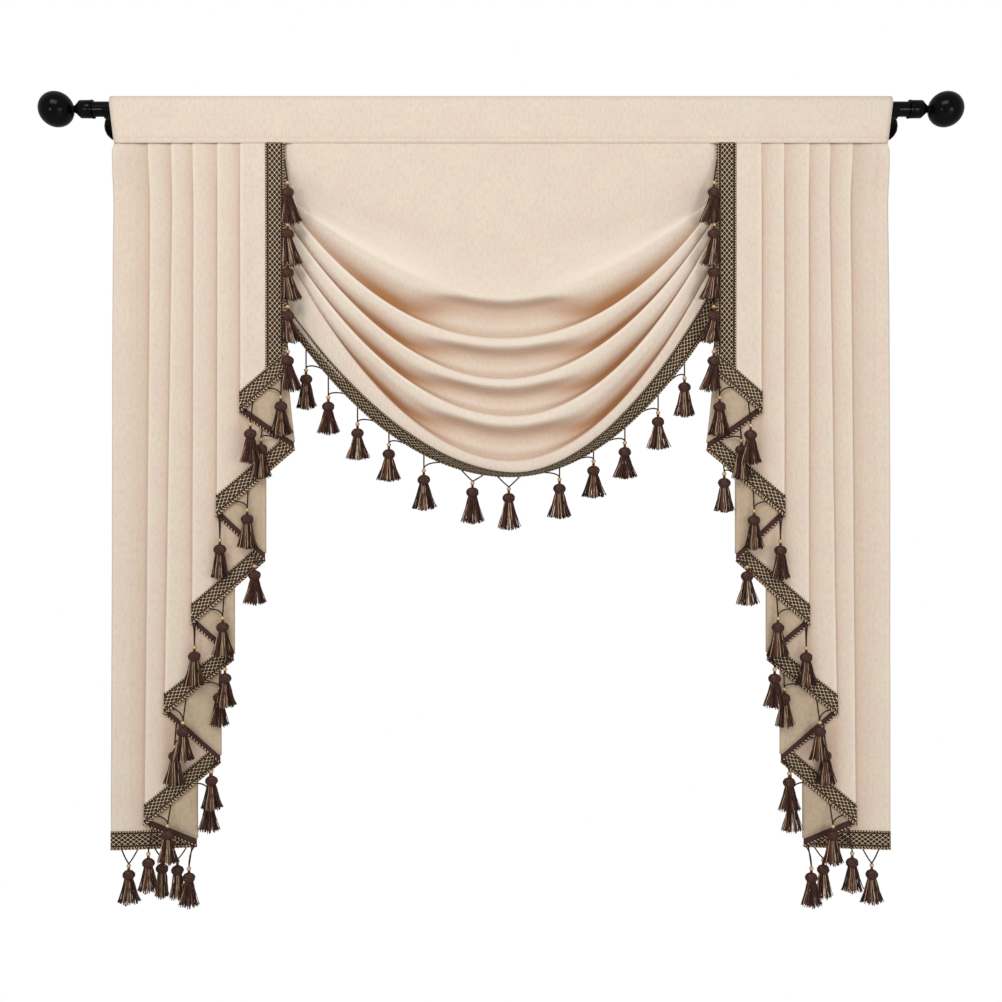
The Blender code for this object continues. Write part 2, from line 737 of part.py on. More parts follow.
def build_bracket(name, side, collection, hidden):
    # Wall plate with its arm, joined to a cradle that holds the rod from behind, below and in front.
    reach = -(ROD_STANDOFF - ROD_RADIUS - 3.0)
    profile = [(0.0, 0.0), (0.0, PLATE_RADIUS), (-3.0, PLATE_RADIUS), (-6.0, PLATE_RADIUS - 3.0)]
    profile += [(-8.0, ARM_RADIUS + 3.0), (-12.0, ARM_RADIUS), (reach, ARM_RADIUS), (reach, 0.0)]
    made = turned(name, profile, "Y", (side * BRACKET_X, 0.0, 0.0), 20, "satin_black", collection)
    bm = bmesh.new()
    rings = []
    for i in range(11):
        angle = math.radians(mix(40.0, -178.0, i / 10.0))
        ring = []
        for radius, across in ((14.6, -0.5), (14.6, 0.5), (19.0, 0.5), (19.0, -0.5)):
            y = -ROD_STANDOFF + radius * math.cos(angle)
            z = radius * math.sin(angle)
            point = (side * CRADLE_X + across * CRADLE_WIDTH, y, z)
            ring.append(bm.verts.new(Vector(point) * MM))
        rings.append(ring)
    for a, b in zip(rings, rings[1:]):
        bridge(bm, a, b)
    bm.faces.new(rings[0])
    bm.faces.new(rings[-1])
    cradle = finish(name + "_cradle", bm, "satin_black", hidden)
    cradle.hide_render = True
    cradle.display_type = "WIRE"
    join = made.modifiers.new("cradle", "BOOLEAN")
    join.operation = "UNION"
    join.solver = "EXACT"
    join.object = cradle


def main():
    for thing in list(bpy.data.objects):
        bpy.data.objects.remove(thing, do_unlink=True)
    drape = bpy.data.collections.new("swag_and_tail_drape")
    cutters = bpy.data.collections.new("cutters")
    bpy.context.scene.collection.children.link(drape)
    bpy.context.scene.collection.children.link(cutters)

    build_rod(drape)
    for word, side in (("left", -1.0), ("right", 1.0)):
        build_finial("finial_" + word, side, drape)
        build_bracket("bracket_" + word, side, drape, cutters)
    build_heading(drape)
    build_swag(drape)
    places = ("far_left", "left", "right", "far_right")
    for place, first, last in zip(places, SWAG_FRINGE_ENDS, SWAG_FRINGE_ENDS[1:]):
        build_swag_fringe("swag_fringe_" + place, first, last, drape)
    parts = (
        ("left", Tail(-1.0, LEFT_TURNS), LEFT_CASCADE, LEFT_HEM),
        ("right", Tail(1.0, RIGHT_TURNS), RIGHT_CASCADE, RIGHT_HEM),
    )
    for word, tail, cascade, hem in parts:
        build_tail("tail_" + word, tail, drape)
        build_tail_braid("tail_braid_" + word, tail, drape)
        build_edge_fringe("edge_fringe_" + word, tail, drape)
        for place, first, last, low, high in CASCADE_ENDS:
            rows = [row for row in cascade if low <= row[0] <= high]
            name = "cascade_fringe_" + word + "_" + place
            build_hem_fringe(name, tail, rows, first, last, drape)
        build_hem_fringe("hem_fringe_" + word, tail, hem, 18.03, 21.0, drape)


main()
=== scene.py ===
import math
import random

import bmesh
import bpy
import numpy as np
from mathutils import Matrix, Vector, noise


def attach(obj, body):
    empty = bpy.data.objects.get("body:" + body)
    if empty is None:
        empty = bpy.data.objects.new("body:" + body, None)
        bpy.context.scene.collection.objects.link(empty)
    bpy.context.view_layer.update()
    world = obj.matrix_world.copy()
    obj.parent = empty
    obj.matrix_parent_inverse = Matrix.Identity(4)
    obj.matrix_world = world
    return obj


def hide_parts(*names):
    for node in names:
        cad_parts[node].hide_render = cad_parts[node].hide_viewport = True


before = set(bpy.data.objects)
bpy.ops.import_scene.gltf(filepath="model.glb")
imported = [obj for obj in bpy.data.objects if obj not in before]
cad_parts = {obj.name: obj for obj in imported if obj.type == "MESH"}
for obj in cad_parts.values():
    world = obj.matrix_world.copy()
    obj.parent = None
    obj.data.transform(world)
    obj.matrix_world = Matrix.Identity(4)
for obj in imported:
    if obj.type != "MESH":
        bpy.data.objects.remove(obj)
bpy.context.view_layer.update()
scene = bpy.context.scene
mm = 0.001
print("frame loaded:", len(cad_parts), "nodes")


# Small helpers. Sizes are in millimetres, like the part's own tables.
def clamp(value):
    return min(1.0, max(0.0, value))


def mix(a, b, share):
    return a + (b - a) * share


def ease(value):
    value = clamp(value)
    return value * value * (3.0 - 2.0 * value)


def spread(start, end, count):
    return [mix(start, end, i / count) for i in range(count + 1)]


def selectOnly(thing):
    bpy.ops.object.select_all(action="DESELECT")
    thing.select_set(True)
    bpy.context.view_layer.objects.active = thing


def link(tree, value, socket):
    if isinstance(value, (int, float, tuple)):
        socket.default_value = value
    else:
        tree.links.new(value, socket)


def calc(tree, operation, a, b=0.0):
    node = tree.nodes.new("ShaderNodeMath")
    node.operation = operation
    for value, socket in zip((a, b), node.inputs):
        link(tree, value, socket)
    return node.outputs[0]


def vectorCalc(tree, operation, a, b):
    node = tree.nodes.new("ShaderNodeVectorMath")
    node.operation = operation
    link(tree, a, node.inputs[0])
    link(tree, b, node.inputs[1])
    return node.outputs[0]


def blendColour(tree, share, a, b):
    node = tree.nodes.new("ShaderNodeMix")
    node.data_type = "RGBA"
    link(tree, share, node.inputs[0])
    link(tree, a, node.inputs[6])
    link(tree, b, node.inputs[7])
    return node.outputs[2]


def ramp(tree, value, low, high):
    node = tree.nodes.new("ShaderNodeMapRange")
    node.interpolation_type = "SMOOTHSTEP"
    link(tree, value, node.inputs[0])
    node.inputs[1].default_value = low
    node.inputs[2].default_value = high
    return node.outputs[0]


def noiseAt(tree, place, scale, detail=2.0, roughness=0.5):
    node = tree.nodes.new("ShaderNodeTexNoise")
    link(tree, place, node.inputs["Vector"])
    node.inputs["Scale"].default_value = scale
    node.inputs["Detail"].default_value = detail
    node.inputs["Roughness"].default_value = roughness
    return node.outputs[0]


def newGroup(name, inputs, outputs):
    group = bpy.data.node_groups.new(name, "ShaderNodeTree")
    for label, kind, value in inputs:
        socket = group.interface.new_socket(name=label, in_out="INPUT", socket_type=kind)
        socket.default_value = value
    for label, kind in outputs:
        group.interface.new_socket(name=label, in_out="OUTPUT", socket_type=kind)
    start = group.nodes.new("NodeGroupInput")
    end = group.nodes.new("NodeGroupOutput")
    return group, start, end


def useGroup(tree, group, **inputs):
    node = tree.nodes.new("ShaderNodeGroup")
    node.node_tree = group
    for label, value in inputs.items():
        link(tree, value, node.inputs[label])
    return node


def newMaterial(name):
    made = bpy.data.materials.new(name)
    made.use_nodes = True
    return made, made.node_tree, made.node_tree.nodes["Principled BSDF"]


def objectPlace(tree):
    return tree.nodes.new("ShaderNodeTexCoord").outputs["Object"]


def uvPlace(tree):
    node = tree.nodes.new("ShaderNodeUVMap")
    node.uv_map = "flat"
    return node.outputs[0]


def attribute(tree, name):
    node = tree.nodes.new("ShaderNodeAttribute")
    node.attribute_name = name
    return node.outputs["Fac"]


def bump(tree, height, distance, strength, shader):
    node = tree.nodes.new("ShaderNodeBump")
    node.inputs["Strength"].default_value = strength
    node.inputs["Distance"].default_value = distance
    tree.links.new(height, node.inputs["Height"])
    tree.links.new(node.outputs[0], shader.inputs["Normal"])


def buildPileGroup():
    # Short pile on a woven ground: height, broad mottling and fine specks, by place on the cloth in metres.
    group, start, end = newGroup(
        "softPile",
        [("Place", "NodeSocketVector", (0.0, 0.0, 0.0)), ("Pitch", "NodeSocketFloat", 0.0021)],
        [("Height", "NodeSocketFloat"), ("Mottle", "NodeSocketFloat"), ("Speck", "NodeSocketFloat")],
    )
    place, pitch = start.outputs["Place"], start.outputs["Pitch"]
    parts = group.nodes.new("ShaderNodeSeparateXYZ")
    group.links.new(place, parts.inputs[0])
    wobble = calc(group, "MULTIPLY", noiseAt(group, place, 55.0, 2.0), 0.004)
    weave = []
    for coordinate in parts.outputs[:2]:
        threads = calc(group, "DIVIDE", calc(group, "ADD", coordinate, wobble), pitch)
        wave = calc(group, "SINE", calc(group, "MULTIPLY", threads, 2.0 * math.pi))
        weave.append(calc(group, "MULTIPLY", wave, 0.5))
    grid = calc(group, "ADD", weave[0], weave[1])
    tufts = noiseAt(group, vectorCalc(group, "MULTIPLY", place, (1.0, 0.45, 1.0)), 700.0, 3.0, 0.6)
    specks = noiseAt(group, vectorCalc(group, "MULTIPLY", place, (1.0, 0.42, 1.0)), 210.0, 4.0, 0.7)
    group.links.new(calc(group, "ADD", calc(group, "MULTIPLY", grid, 0.22), tufts), end.inputs["Height"])
    group.links.new(noiseAt(group, place, 16.0, 4.0), end.inputs["Mottle"])
    group.links.new(specks, end.inputs["Speck"])
    return group


def buildFibreGroup():
    # Fine streaks of single fibres, for yarn and the dark ground of the braid.
    group, start, end = newGroup(
        "fineFibre",
        [("Place", "NodeSocketVector", (0.0, 0.0, 0.0))],
        [("Tone", "NodeSocketFloat")],
    )
    drawnOut = vectorCalc(group, "MULTIPLY", start.outputs["Place"], (1.0, 1.0, 0.16))
    group.links.new(noiseAt(group, drawnOut, 900.0, 2.0, 0.6), end.inputs["Tone"])
    return group


pileGroup = buildPileGroup()
fibreGroup = buildFibreGroup()

clothFinish = {
    "cream": (0.79, 0.70, 0.59, 1.0),
    "pinkCream": (0.79, 0.665, 0.585, 1.0),
    # painted shade: the warm tan of the deep fold valleys
    "paintedFoldShade": (0.42, 0.20, 0.085, 1.0),
    "grain": (0.62, 0.53, 0.42, 1.0),
    "paintedHighlight": (0.93, 0.83, 0.73, 1.0),  # painted highlight on fold edges
    "back": (0.58, 0.465, 0.34, 1.0),
    # darker specks of the back's pile, and also the painted fold shade on the back
    "backGrainAndShade": (0.40, 0.29, 0.19, 1.0),
}


def buildClothMaterial(name, light, second, grain, paintedShadeTone):
    made, tree, shader = newMaterial(name)
    pile = useGroup(tree, pileGroup, Place=uvPlace(tree), Pitch=0.0021)
    mottle = ramp(tree, pile.outputs["Mottle"], 0.35, 0.65)
    colour = blendColour(tree, mottle, clothFinish[light], clothFinish[second])
    deep = ramp(tree, pile.outputs["Speck"], 0.40, 0.68)
    colour = blendColour(tree, calc(tree, "MULTIPLY", deep, 0.42), colour, clothFinish[grain])
    # painted shade: the shade attribute mixes in a warmer, darker tone where the folds go deep
    colour = blendColour(tree, attribute(tree, "shade"), colour, clothFinish[paintedShadeTone])
    paintedHighlight = calc(tree, "MULTIPLY", attribute(tree, "shade"), -1.0)  # below 0, the shade attribute paints a highlight on fold edges
    colour = blendColour(tree, paintedHighlight, colour, clothFinish["paintedHighlight"])
    tree.links.new(colour, shader.inputs["Base Color"])
    shader.inputs["Roughness"].default_value = 0.92
    shader.inputs["Specular IOR Level"].default_value = 0.25
    shader.inputs["Sheen Weight"].default_value = 0.22
    shader.inputs["Sheen Roughness"].default_value = 0.45
    bump(tree, pile.outputs["Height"], 0.0006, 0.35, shader)
    return made


braidFinish = {
    "width": 35.4,
    "halfAcross": 4.4,  # half a diamond
    "halfAlong": 5.35,
    "latticeReach": 12.0,
    "picotAt": 16.2,
    "picotPitch": 5.1,
    "rise": 0.45,
    "cream": (0.74, 0.59, 0.40, 1.0),
    "gold": (0.46, 0.31, 0.16, 1.0),
    "knot": (0.92, 0.82, 0.62, 1.0),
    "ground": (0.019, 0.008, 0.005, 1.0),
    "brown": (0.085, 0.036, 0.020, 1.0),
    "backRed": (0.065, 0.018, 0.014, 1.0),
}


def latticeRise(across, along):
    # Height of the raised diamond threads, the same pattern that the material colours.
    across -= braidFinish["width"] / 2.0
    if abs(across) > braidFinish["latticeReach"]:
        dots = 0.5 + 0.5 * math.cos(2.0 * math.pi * along / braidFinish["picotPitch"])
        return braidFinish["rise"] * dots * clamp(1.4 - abs(abs(across) - braidFinish["picotAt"]))
    a = across / (2.0 * braidFinish["halfAcross"])
    b = along / (2.0 * braidFinish["halfAlong"])
    first = abs((a + b) % 1.0 - 0.5) * 2.0
    second = abs((a - b) % 1.0 - 0.5) * 2.0
    return braidFinish["rise"] * ease((max(first, second) - 0.55) / 0.35)


def buildBraidMaterial():
    made, tree, shader = newMaterial("diamondBraid")
    parts = tree.nodes.new("ShaderNodeSeparateXYZ")
    place = uvPlace(tree)
    tree.links.new(place, parts.inputs[0])
    across = calc(tree, "SUBTRACT", parts.outputs[0], braidFinish["width"] / 2.0 * mm)
    a = calc(tree, "DIVIDE", across, 2.0 * braidFinish["halfAcross"] * mm)
    b = calc(tree, "DIVIDE", parts.outputs[1], 2.0 * braidFinish["halfAlong"] * mm)
    lines = []
    for operation in ("ADD", "SUBTRACT"):
        turn = calc(tree, "FRACT", calc(tree, operation, a, b))
        lines.append(calc(tree, "ABSOLUTE", calc(tree, "SUBTRACT", turn, 0.5)))
    side = calc(tree, "ABSOLUTE", across)
    inside = calc(tree, "LESS_THAN", side, braidFinish["latticeReach"] * mm)
    threads = ramp(tree, calc(tree, "MAXIMUM", lines[0], lines[1]), 0.40, 0.465)
    knots = ramp(tree, calc(tree, "MINIMUM", lines[0], lines[1]), 0.30, 0.42)
    lattice = calc(tree, "MULTIPLY", threads, inside)
    turnsPerMetre = 2.0 * math.pi / (braidFinish["picotPitch"] * mm)
    dots = calc(tree, "COSINE", calc(tree, "MULTIPLY", parts.outputs[1], turnsPerMetre))
    away = calc(tree, "ABSOLUTE", calc(tree, "SUBTRACT", side, braidFinish["picotAt"] * mm))
    picot = calc(tree, "MULTIPLY", ramp(tree, dots, -0.35, 0.3), calc(tree, "LESS_THAN", away, 1.1 * mm))
    mask = calc(tree, "MAXIMUM", lattice, picot)
    patchy = noiseAt(tree, place, 420.0, 2.0)
    cream = blendColour(tree, ramp(tree, patchy, 0.42, 0.66), braidFinish["cream"], braidFinish["gold"])
    cream = blendColour(tree, knots, cream, braidFinish["knot"])
    fibre = useGroup(tree, fibreGroup, Place=place)
    worn = ramp(tree, fibre.outputs["Tone"], 0.5, 0.72)
    ground = blendColour(tree, worn, braidFinish["ground"], braidFinish["brown"])
    tree.links.new(blendColour(tree, mask, ground, cream), shader.inputs["Base Color"])
    shader.inputs["Roughness"].default_value = 0.62
    shader.inputs["Specular IOR Level"].default_value = 0.2
    height = calc(tree, "ADD", mask, calc(tree, "MULTIPLY", fibre.outputs["Tone"], 0.5))
    bump(tree, height, 0.0006, 0.6, shader)
    return made


def buildPlainYarnMaterial(name, colour, second):
    made, tree, shader = newMaterial(name)
    fibre = useGroup(tree, fibreGroup, Place=uvPlace(tree))
    share = ramp(tree, fibre.outputs["Tone"], 0.4, 0.7)
    tree.links.new(blendColour(tree, share, colour, second), shader.inputs["Base Color"])
    shader.inputs["Roughness"].default_value = 0.8
    bump(tree, fibre.outputs["Tone"], 0.0005, 0.5, shader)
    return made


yarnFinish = {
    "dark": (0.028, 0.011, 0.008, 1.0),
    "burgundy": (0.105, 0.030, 0.020, 1.0),
    "brown": (0.17, 0.078, 0.042, 1.0),
    "gold": (0.78, 0.56, 0.37, 1.0),
}


def buildYarnMaterial():
    # The attribute yarn says which thread a strand is: dark, burgundy, brown or gold.
    made, tree, shader = newMaterial("tasselThreads")
    yarn = attribute(tree, "yarn")
    colour = blendColour(tree, ramp(tree, yarn, 0.20, 0.30), yarnFinish["dark"], yarnFinish["burgundy"])
    colour = blendColour(tree, ramp(tree, yarn, 0.45, 0.55), colour, yarnFinish["brown"])
    colour = blendColour(tree, ramp(tree, yarn, 0.70, 0.80), colour, yarnFinish["gold"])
    fibre = useGroup(tree, fibreGroup, Place=objectPlace(tree))
    shine = ramp(tree, fibre.outputs["Tone"], 0.35, 0.7)
    colour = blendColour(tree, calc(tree, "MULTIPLY", shine, 0.35), colour, yarnFinish["dark"])
    tree.links.new(colour, shader.inputs["Base Color"])
    shader.inputs["Roughness"].default_value = 0.5
    shader.inputs["Specular IOR Level"].default_value = 0.3
    bump(tree, fibre.outputs["Tone"], 0.0004, 0.5, shader)
    return made


def buildBeadMaterial():
    made, tree, shader = newMaterial("paleGoldBead")
    cloud = noiseAt(tree, objectPlace(tree), 260.0, 2.0)
    colour = blendColour(tree, cloud, (0.80, 0.62, 0.33, 1.0), (0.62, 0.42, 0.17, 1.0))
    tree.links.new(colour, shader.inputs["Base Color"])
    shader.inputs["Metallic"].default_value = 0.75
    tree.links.new(ramp(tree, cloud, -0.9, 1.9), shader.inputs["Roughness"])
    return made


def buildMetalMaterial():
    made, tree, shader = newMaterial("satinBlackMetal")
    place = objectPlace(tree)
    grain = noiseAt(tree, place, 900.0, 3.0)
    broad = noiseAt(tree, place, 18.0, 2.0)
    patches = ramp(tree, broad, 0.3, 0.7)
    colour = blendColour(tree, patches, (0.0012, 0.0012, 0.0014, 1.0), (0.0024, 0.0024, 0.0027, 1.0))
    tree.links.new(colour, shader.inputs["Base Color"])
    rough = tree.nodes.new("ShaderNodeMapRange")
    tree.links.new(broad, rough.inputs[0])
    rough.inputs[3].default_value = 0.15
    rough.inputs[4].default_value = 0.21
    tree.links.new(rough.outputs[0], shader.inputs["Roughness"])
    shader.inputs["Specular IOR Level"].default_value = 0.12
    bump(tree, grain, 0.0001, 0.12, shader)
    return made


creamFace = buildClothMaterial("creamPileFace", "cream", "pinkCream", "grain", "paintedFoldShade")
greyBack = buildClothMaterial("greyBeigeBack", "back", "back", "backGrainAndShade", "backGrainAndShade")
braidFace = buildBraidMaterial()
braidBack = buildPlainYarnMaterial("redBrownBack", braidFinish["backRed"], braidFinish["ground"])
threadPlain = buildPlainYarnMaterial("creamThread", (0.74, 0.62, 0.48, 1.0), (0.60, 0.47, 0.33, 1.0))
yarn = buildYarnMaterial()
beadGold = buildBeadMaterial()
metal = buildMetalMaterial()
print("materials ready")


def makeSheet(name, grids, materials, thickness, flip):
    # Each grid is rows of (point in mm, flat place in mm, painted shade); Solidify gives it two skins.
    bm = bmesh.new()
    uvLayer = bm.loops.layers.uv.new("flat")
    shadeLayer = bm.verts.layers.float.new("shade")
    for grid in grids:
        verts = []
        for row in grid:
            line = []
            for point, flat, shade in row:
                vert = bm.verts.new(Vector(point) * mm)
                vert[shadeLayer] = shade
                line.append(vert)
            verts.append(line)
        for i in range(len(grid) - 1):
            for k in range(len(grid[i]) - 1):
                corners = [(i, k), (i + 1, k), (i + 1, k + 1), (i, k + 1)]
                if flip:
                    corners.reverse()
                face = bm.faces.new([verts[a][b] for a, b in corners])
                face.smooth = True
                for loop, (a, b) in zip(face.loops, corners):
                    flat = grid[a][b][1]
                    loop[uvLayer].uv = (flat[0] * mm, flat[1] * mm)
    if len(grids) > 1:
        bmesh.ops.remove_doubles(bm, verts=bm.verts[:], dist=0.00005)
    mesh = bpy.data.meshes.new(name)
    bm.to_mesh(mesh)
    bm.free()
    made = bpy.data.objects.new(name, mesh)
    scene.collection.objects.link(made)
    for material in materials:
        mesh.materials.append(material)
    skin = made.modifiers.new("thickness", "SOLIDIFY")
    skin.thickness = thickness * mm
    skin.offset = 0.0
    skin.use_even_offset = False
    skin.material_offset = 1
    skin.material_offset_rim = 0
    selectOnly(made)
    bpy.ops.object.modifier_apply(modifier="thickness")
    return made


def curvePoints(points, steps):
    # A smooth curve through the points, with the same number of steps between each two.
    count = len(points)
    curve = []
    for i in range(count - 1):
        p0 = points[max(0, i - 1)]
        p1, p2 = points[i], points[i + 1]
        p3 = points[min(count - 1, i + 2)]
        for k in range(steps):
            t = k / steps
            point = []
            for a, b, c, d in zip(p0, p1, p2, p3):
                squared = (2.0 * a - 5.0 * b + 4.0 * c - d) * t * t
                cubed = (3.0 * b - a - 3.0 * c + d) * t * t * t
                point.append(0.5 * (2.0 * b + (c - a) * t + squared + cubed))
            curve.append(tuple(point))
    curve.append(tuple(points[-1]))
    return curve


def softness(x, z, size, seed):
    return noise.noise(Vector((x / size, z / (size * 1.6), seed)))


heading = {
    "topEnd": 756.5,
    "lowEnd": 745.0,
    "standoff": 95.0,
    "columns": 150,
    "sectionSteps": 5,
    "thickness": 2.2,
    "pucker": 0.7,
    "puckerSize": 46.0,
    "bottom": -70.6,
    "narrowHalf": 753.0,
    "stitchHeight": -60.5,
    "stitchPitch": 4.4,
    "stitchInset": 6.0,
    "groove": 0.7,
    "section": [
        # y and z of the cloth's middle, and y where only the swag hangs below
        (-16.6, -70.6, -16.6),
        (-18.0, -67.5, -18.0),
        (-18.3, -58.0, -18.3),
        (-18.3, -20.0, -18.3),
        (-18.0, 5.0, -18.0),
        (-13.0, 16.0, -13.0),
        (-4.0, 22.6, -4.0),
        (0.0, 24.0, 0.0),
        (3.0, 22.6, 3.0),
        (10.0, 16.0, 10.0),
        (17.4, 6.0, 17.4),
        (17.6, -12.0, 17.6),
        (17.6, -41.5, 6.8),
        (17.6, -67.4, -9.2),
    ],
}


def headingNarrowing(x):
    # 1 where only the swag hangs below, 0 over the tails.
    return ease((0.595 - abs(x) / heading["narrowHalf"]) / 0.09)


def headingPucker(x, z):
    return heading["pucker"] * clamp((66.0 + z) / 12.0) * softness(x, z, heading["puckerSize"], 3.1)


def buildHeading():
    grid = []
    path = 0.0
    section = curvePoints(heading["section"], heading["sectionSteps"])
    last = section[0][:2]
    top = 25.1
    for y, z, swagY in section:
        path += math.dist((y, z), last)
        last = (y, z)
        half = mix(heading["topEnd"], heading["lowEnd"], clamp((top - z) / (top - heading["bottom"])))
        row = []
        for x in spread(-half, half, heading["columns"]):
            depth = mix(y, swagY, headingNarrowing(x)) - heading["standoff"]
            depth += clamp((-z - 6.0) / 30.0) * headingPucker(x, z)
            groove = math.exp(-((z - heading["stitchHeight"]) / 1.8) ** 2) if y < 0.0 else 0.0
            # the stitch groove also gets a little painted shade
            row.append(((x, depth + heading["groove"] * groove, z), (x, path), 0.16 * groove))
        grid.append(row)
    made = makeSheet("heading_cloth", [grid], (creamFace, greyBack), heading["thickness"], True)
    print("heading: path round the rod", round(path), "mm")
    return made, path


def buildStitches():
    # One lockstitch, repeated along the seam under the rod pocket.
    reach = heading["lowEnd"] - heading["stitchInset"]
    bpy.ops.object.select_all(action="DESELECT")
    bpy.ops.mesh.primitive_cylinder_add(
        vertices=6, radius=0.42 * mm, depth=3.2 * mm, rotation=(0.0, math.pi / 2.0, 0.0),
    )
    made = bpy.context.object
    made.name = "heading_stitching"
    bpy.ops.object.mode_set(mode="EDIT")
    bpy.ops.mesh.select_all(action="SELECT")
    bpy.ops.mesh.bevel(offset=0.18 * mm, segments=1, affect="EDGES")
    bpy.ops.object.mode_set(mode="OBJECT")
    bpy.ops.object.transform_apply(location=False, rotation=True, scale=True)
    face = heading["section"][2][0] - heading["standoff"] + heading["groove"] - 1.25
    made.location = (-reach * mm, face * mm, heading["stitchHeight"] * mm)
    bpy.ops.object.transform_apply(location=True, rotation=False, scale=False)
    row = made.modifiers.new("row", "ARRAY")
    row.count = int(2.0 * reach / heading["stitchPitch"])
    row.use_relative_offset = False
    row.use_constant_offset = True
    row.constant_offset_displace = (heading["stitchPitch"] * mm, 0.0, 0.0)
    bpy.ops.object.modifier_apply(modifier="row")
    for vert in made.data.vertices:
        vert.co.y += headingPucker(vert.co.x / mm, vert.co.z / mm) * mm
    made.data.materials.append(threadPlain)
    bpy.ops.object.shade_smooth()
    return made


headingCloth, headingPath = buildHeading()
headingStitches = buildStitches()


# Each tail is one back-and-forth sheet.
tailShape = {
    "front": -109.0,
    "lean": 0.10,
    "outerGap": 3.6,
    "innerGap": 6.2,
    "top": -68.5,
    "sewnTop": -68.0,
    "seamDepth": -110.6,
    "seamGap": 1.0,
    "seamLean": 0.042,
    "seamReach": 130.0,
    "thickness": 2.0,
    "rows": 80,
    "flatStep": 4.5,
    "bendSteps": 8,
    "roll": 2.6,  # how far a fold's outer edge rolls back
    "rollReach": 13.0,
    "wave": 1.6,
    # painted shade where a fold goes in behind the one before it, and a painted highlight along each fold's
    # outer edge
    "foldShadeStrength": 0.36,
    "edgeHighlight": 0.5,
    "edgeHighlightReach": 8.0,
    "braidOffset": 2.1,
    "braidSunk": 0.15,
    "braidStrips": 16,
    "braidThickness": 1.2,
    "braidSlant": 39.0,
    "braidWidth": 33.0,
    "leadWidth": 35.4,
    "braidBeyond": 13.0,
}
leftTurns = [
    # x at top, x at hem, hem z, power
    (418.0, 418.0, -513.0, 1.0),
    (502.0, 501.5, -588.0, 1.0),
    (424.0, 398.0, -659.0, 3.0),
    (546.5, 548.0, -788.0, 1.0),
    (456.0, 456.0, -874.0, 1.0),
    (594.0, 597.0, -997.0, 1.0),
    (518.0, 518.0, -1067.0, 1.0),
    (635.0, 652.0, -1172.0, 1.0),
    (546.0, 546.0, -1269.0, 1.0),
    (680.0, 693.0, -1389.0, 1.0),
    (594.0, 594.0, -1434.0, 1.0),
    (744.5, 760.0, -1437.0, 0.25),
]
rightTurns = [
    # x at top, x at hem, hem z, power
    (417.0, 417.0, -513.0, 1.0),
    (501.0, 501.0, -588.0, 1.0),
    (423.0, 397.0, -660.0, 3.0),
    (545.0, 547.0, -788.0, 1.0),
    (455.0, 455.0, -875.0, 1.0),
    (594.0, 596.0, -998.0, 1.0),
    (516.0, 516.0, -1067.0, 1.0),
    (634.0, 652.0, -1173.0, 1.0),
    (545.0, 545.0, -1268.0, 1.0),
    (677.5, 691.0, -1389.0, 1.0),
    (591.0, 591.0, -1434.0, 1.0),
    (744.0, 759.5, -1437.0, 0.25),
]
tailCreases = [
    # x, half width, depth, top z, low z
    (727.0, 4.0, 2.4, -50.0, -1440.0),
    (718.0, 5.0, -1.6, -50.0, -1440.0),
    (575.0, 8.0, 1.6, -68.0, -420.0),
    (562.0, 6.0, -0.8, -150.0, -700.0),
    (612.0, 8.0, 1.5, -90.0, -620.0),
    (662.0, 9.0, 1.8, -68.0, -560.0),
    (650.0, 7.0, -0.9, -300.0, -1000.0),
    (705.0, 12.0, 2.4, -150.0, -1000.0),
    (690.0, 6.0, -1.0, -500.0, -1380.0),
    (478.0, 11.0, 1.6, -100.0, -500.0),
    (520.0, 7.0, 1.2, -260.0, -760.0),
    (640.0, 8.0, 1.6, -640.0, -1200.0),
    (700.0, 11.0, 2.0, -900.0, -1400.0),
    (745.0, 5.0, 0.9, -500.0, -1420.0),
]


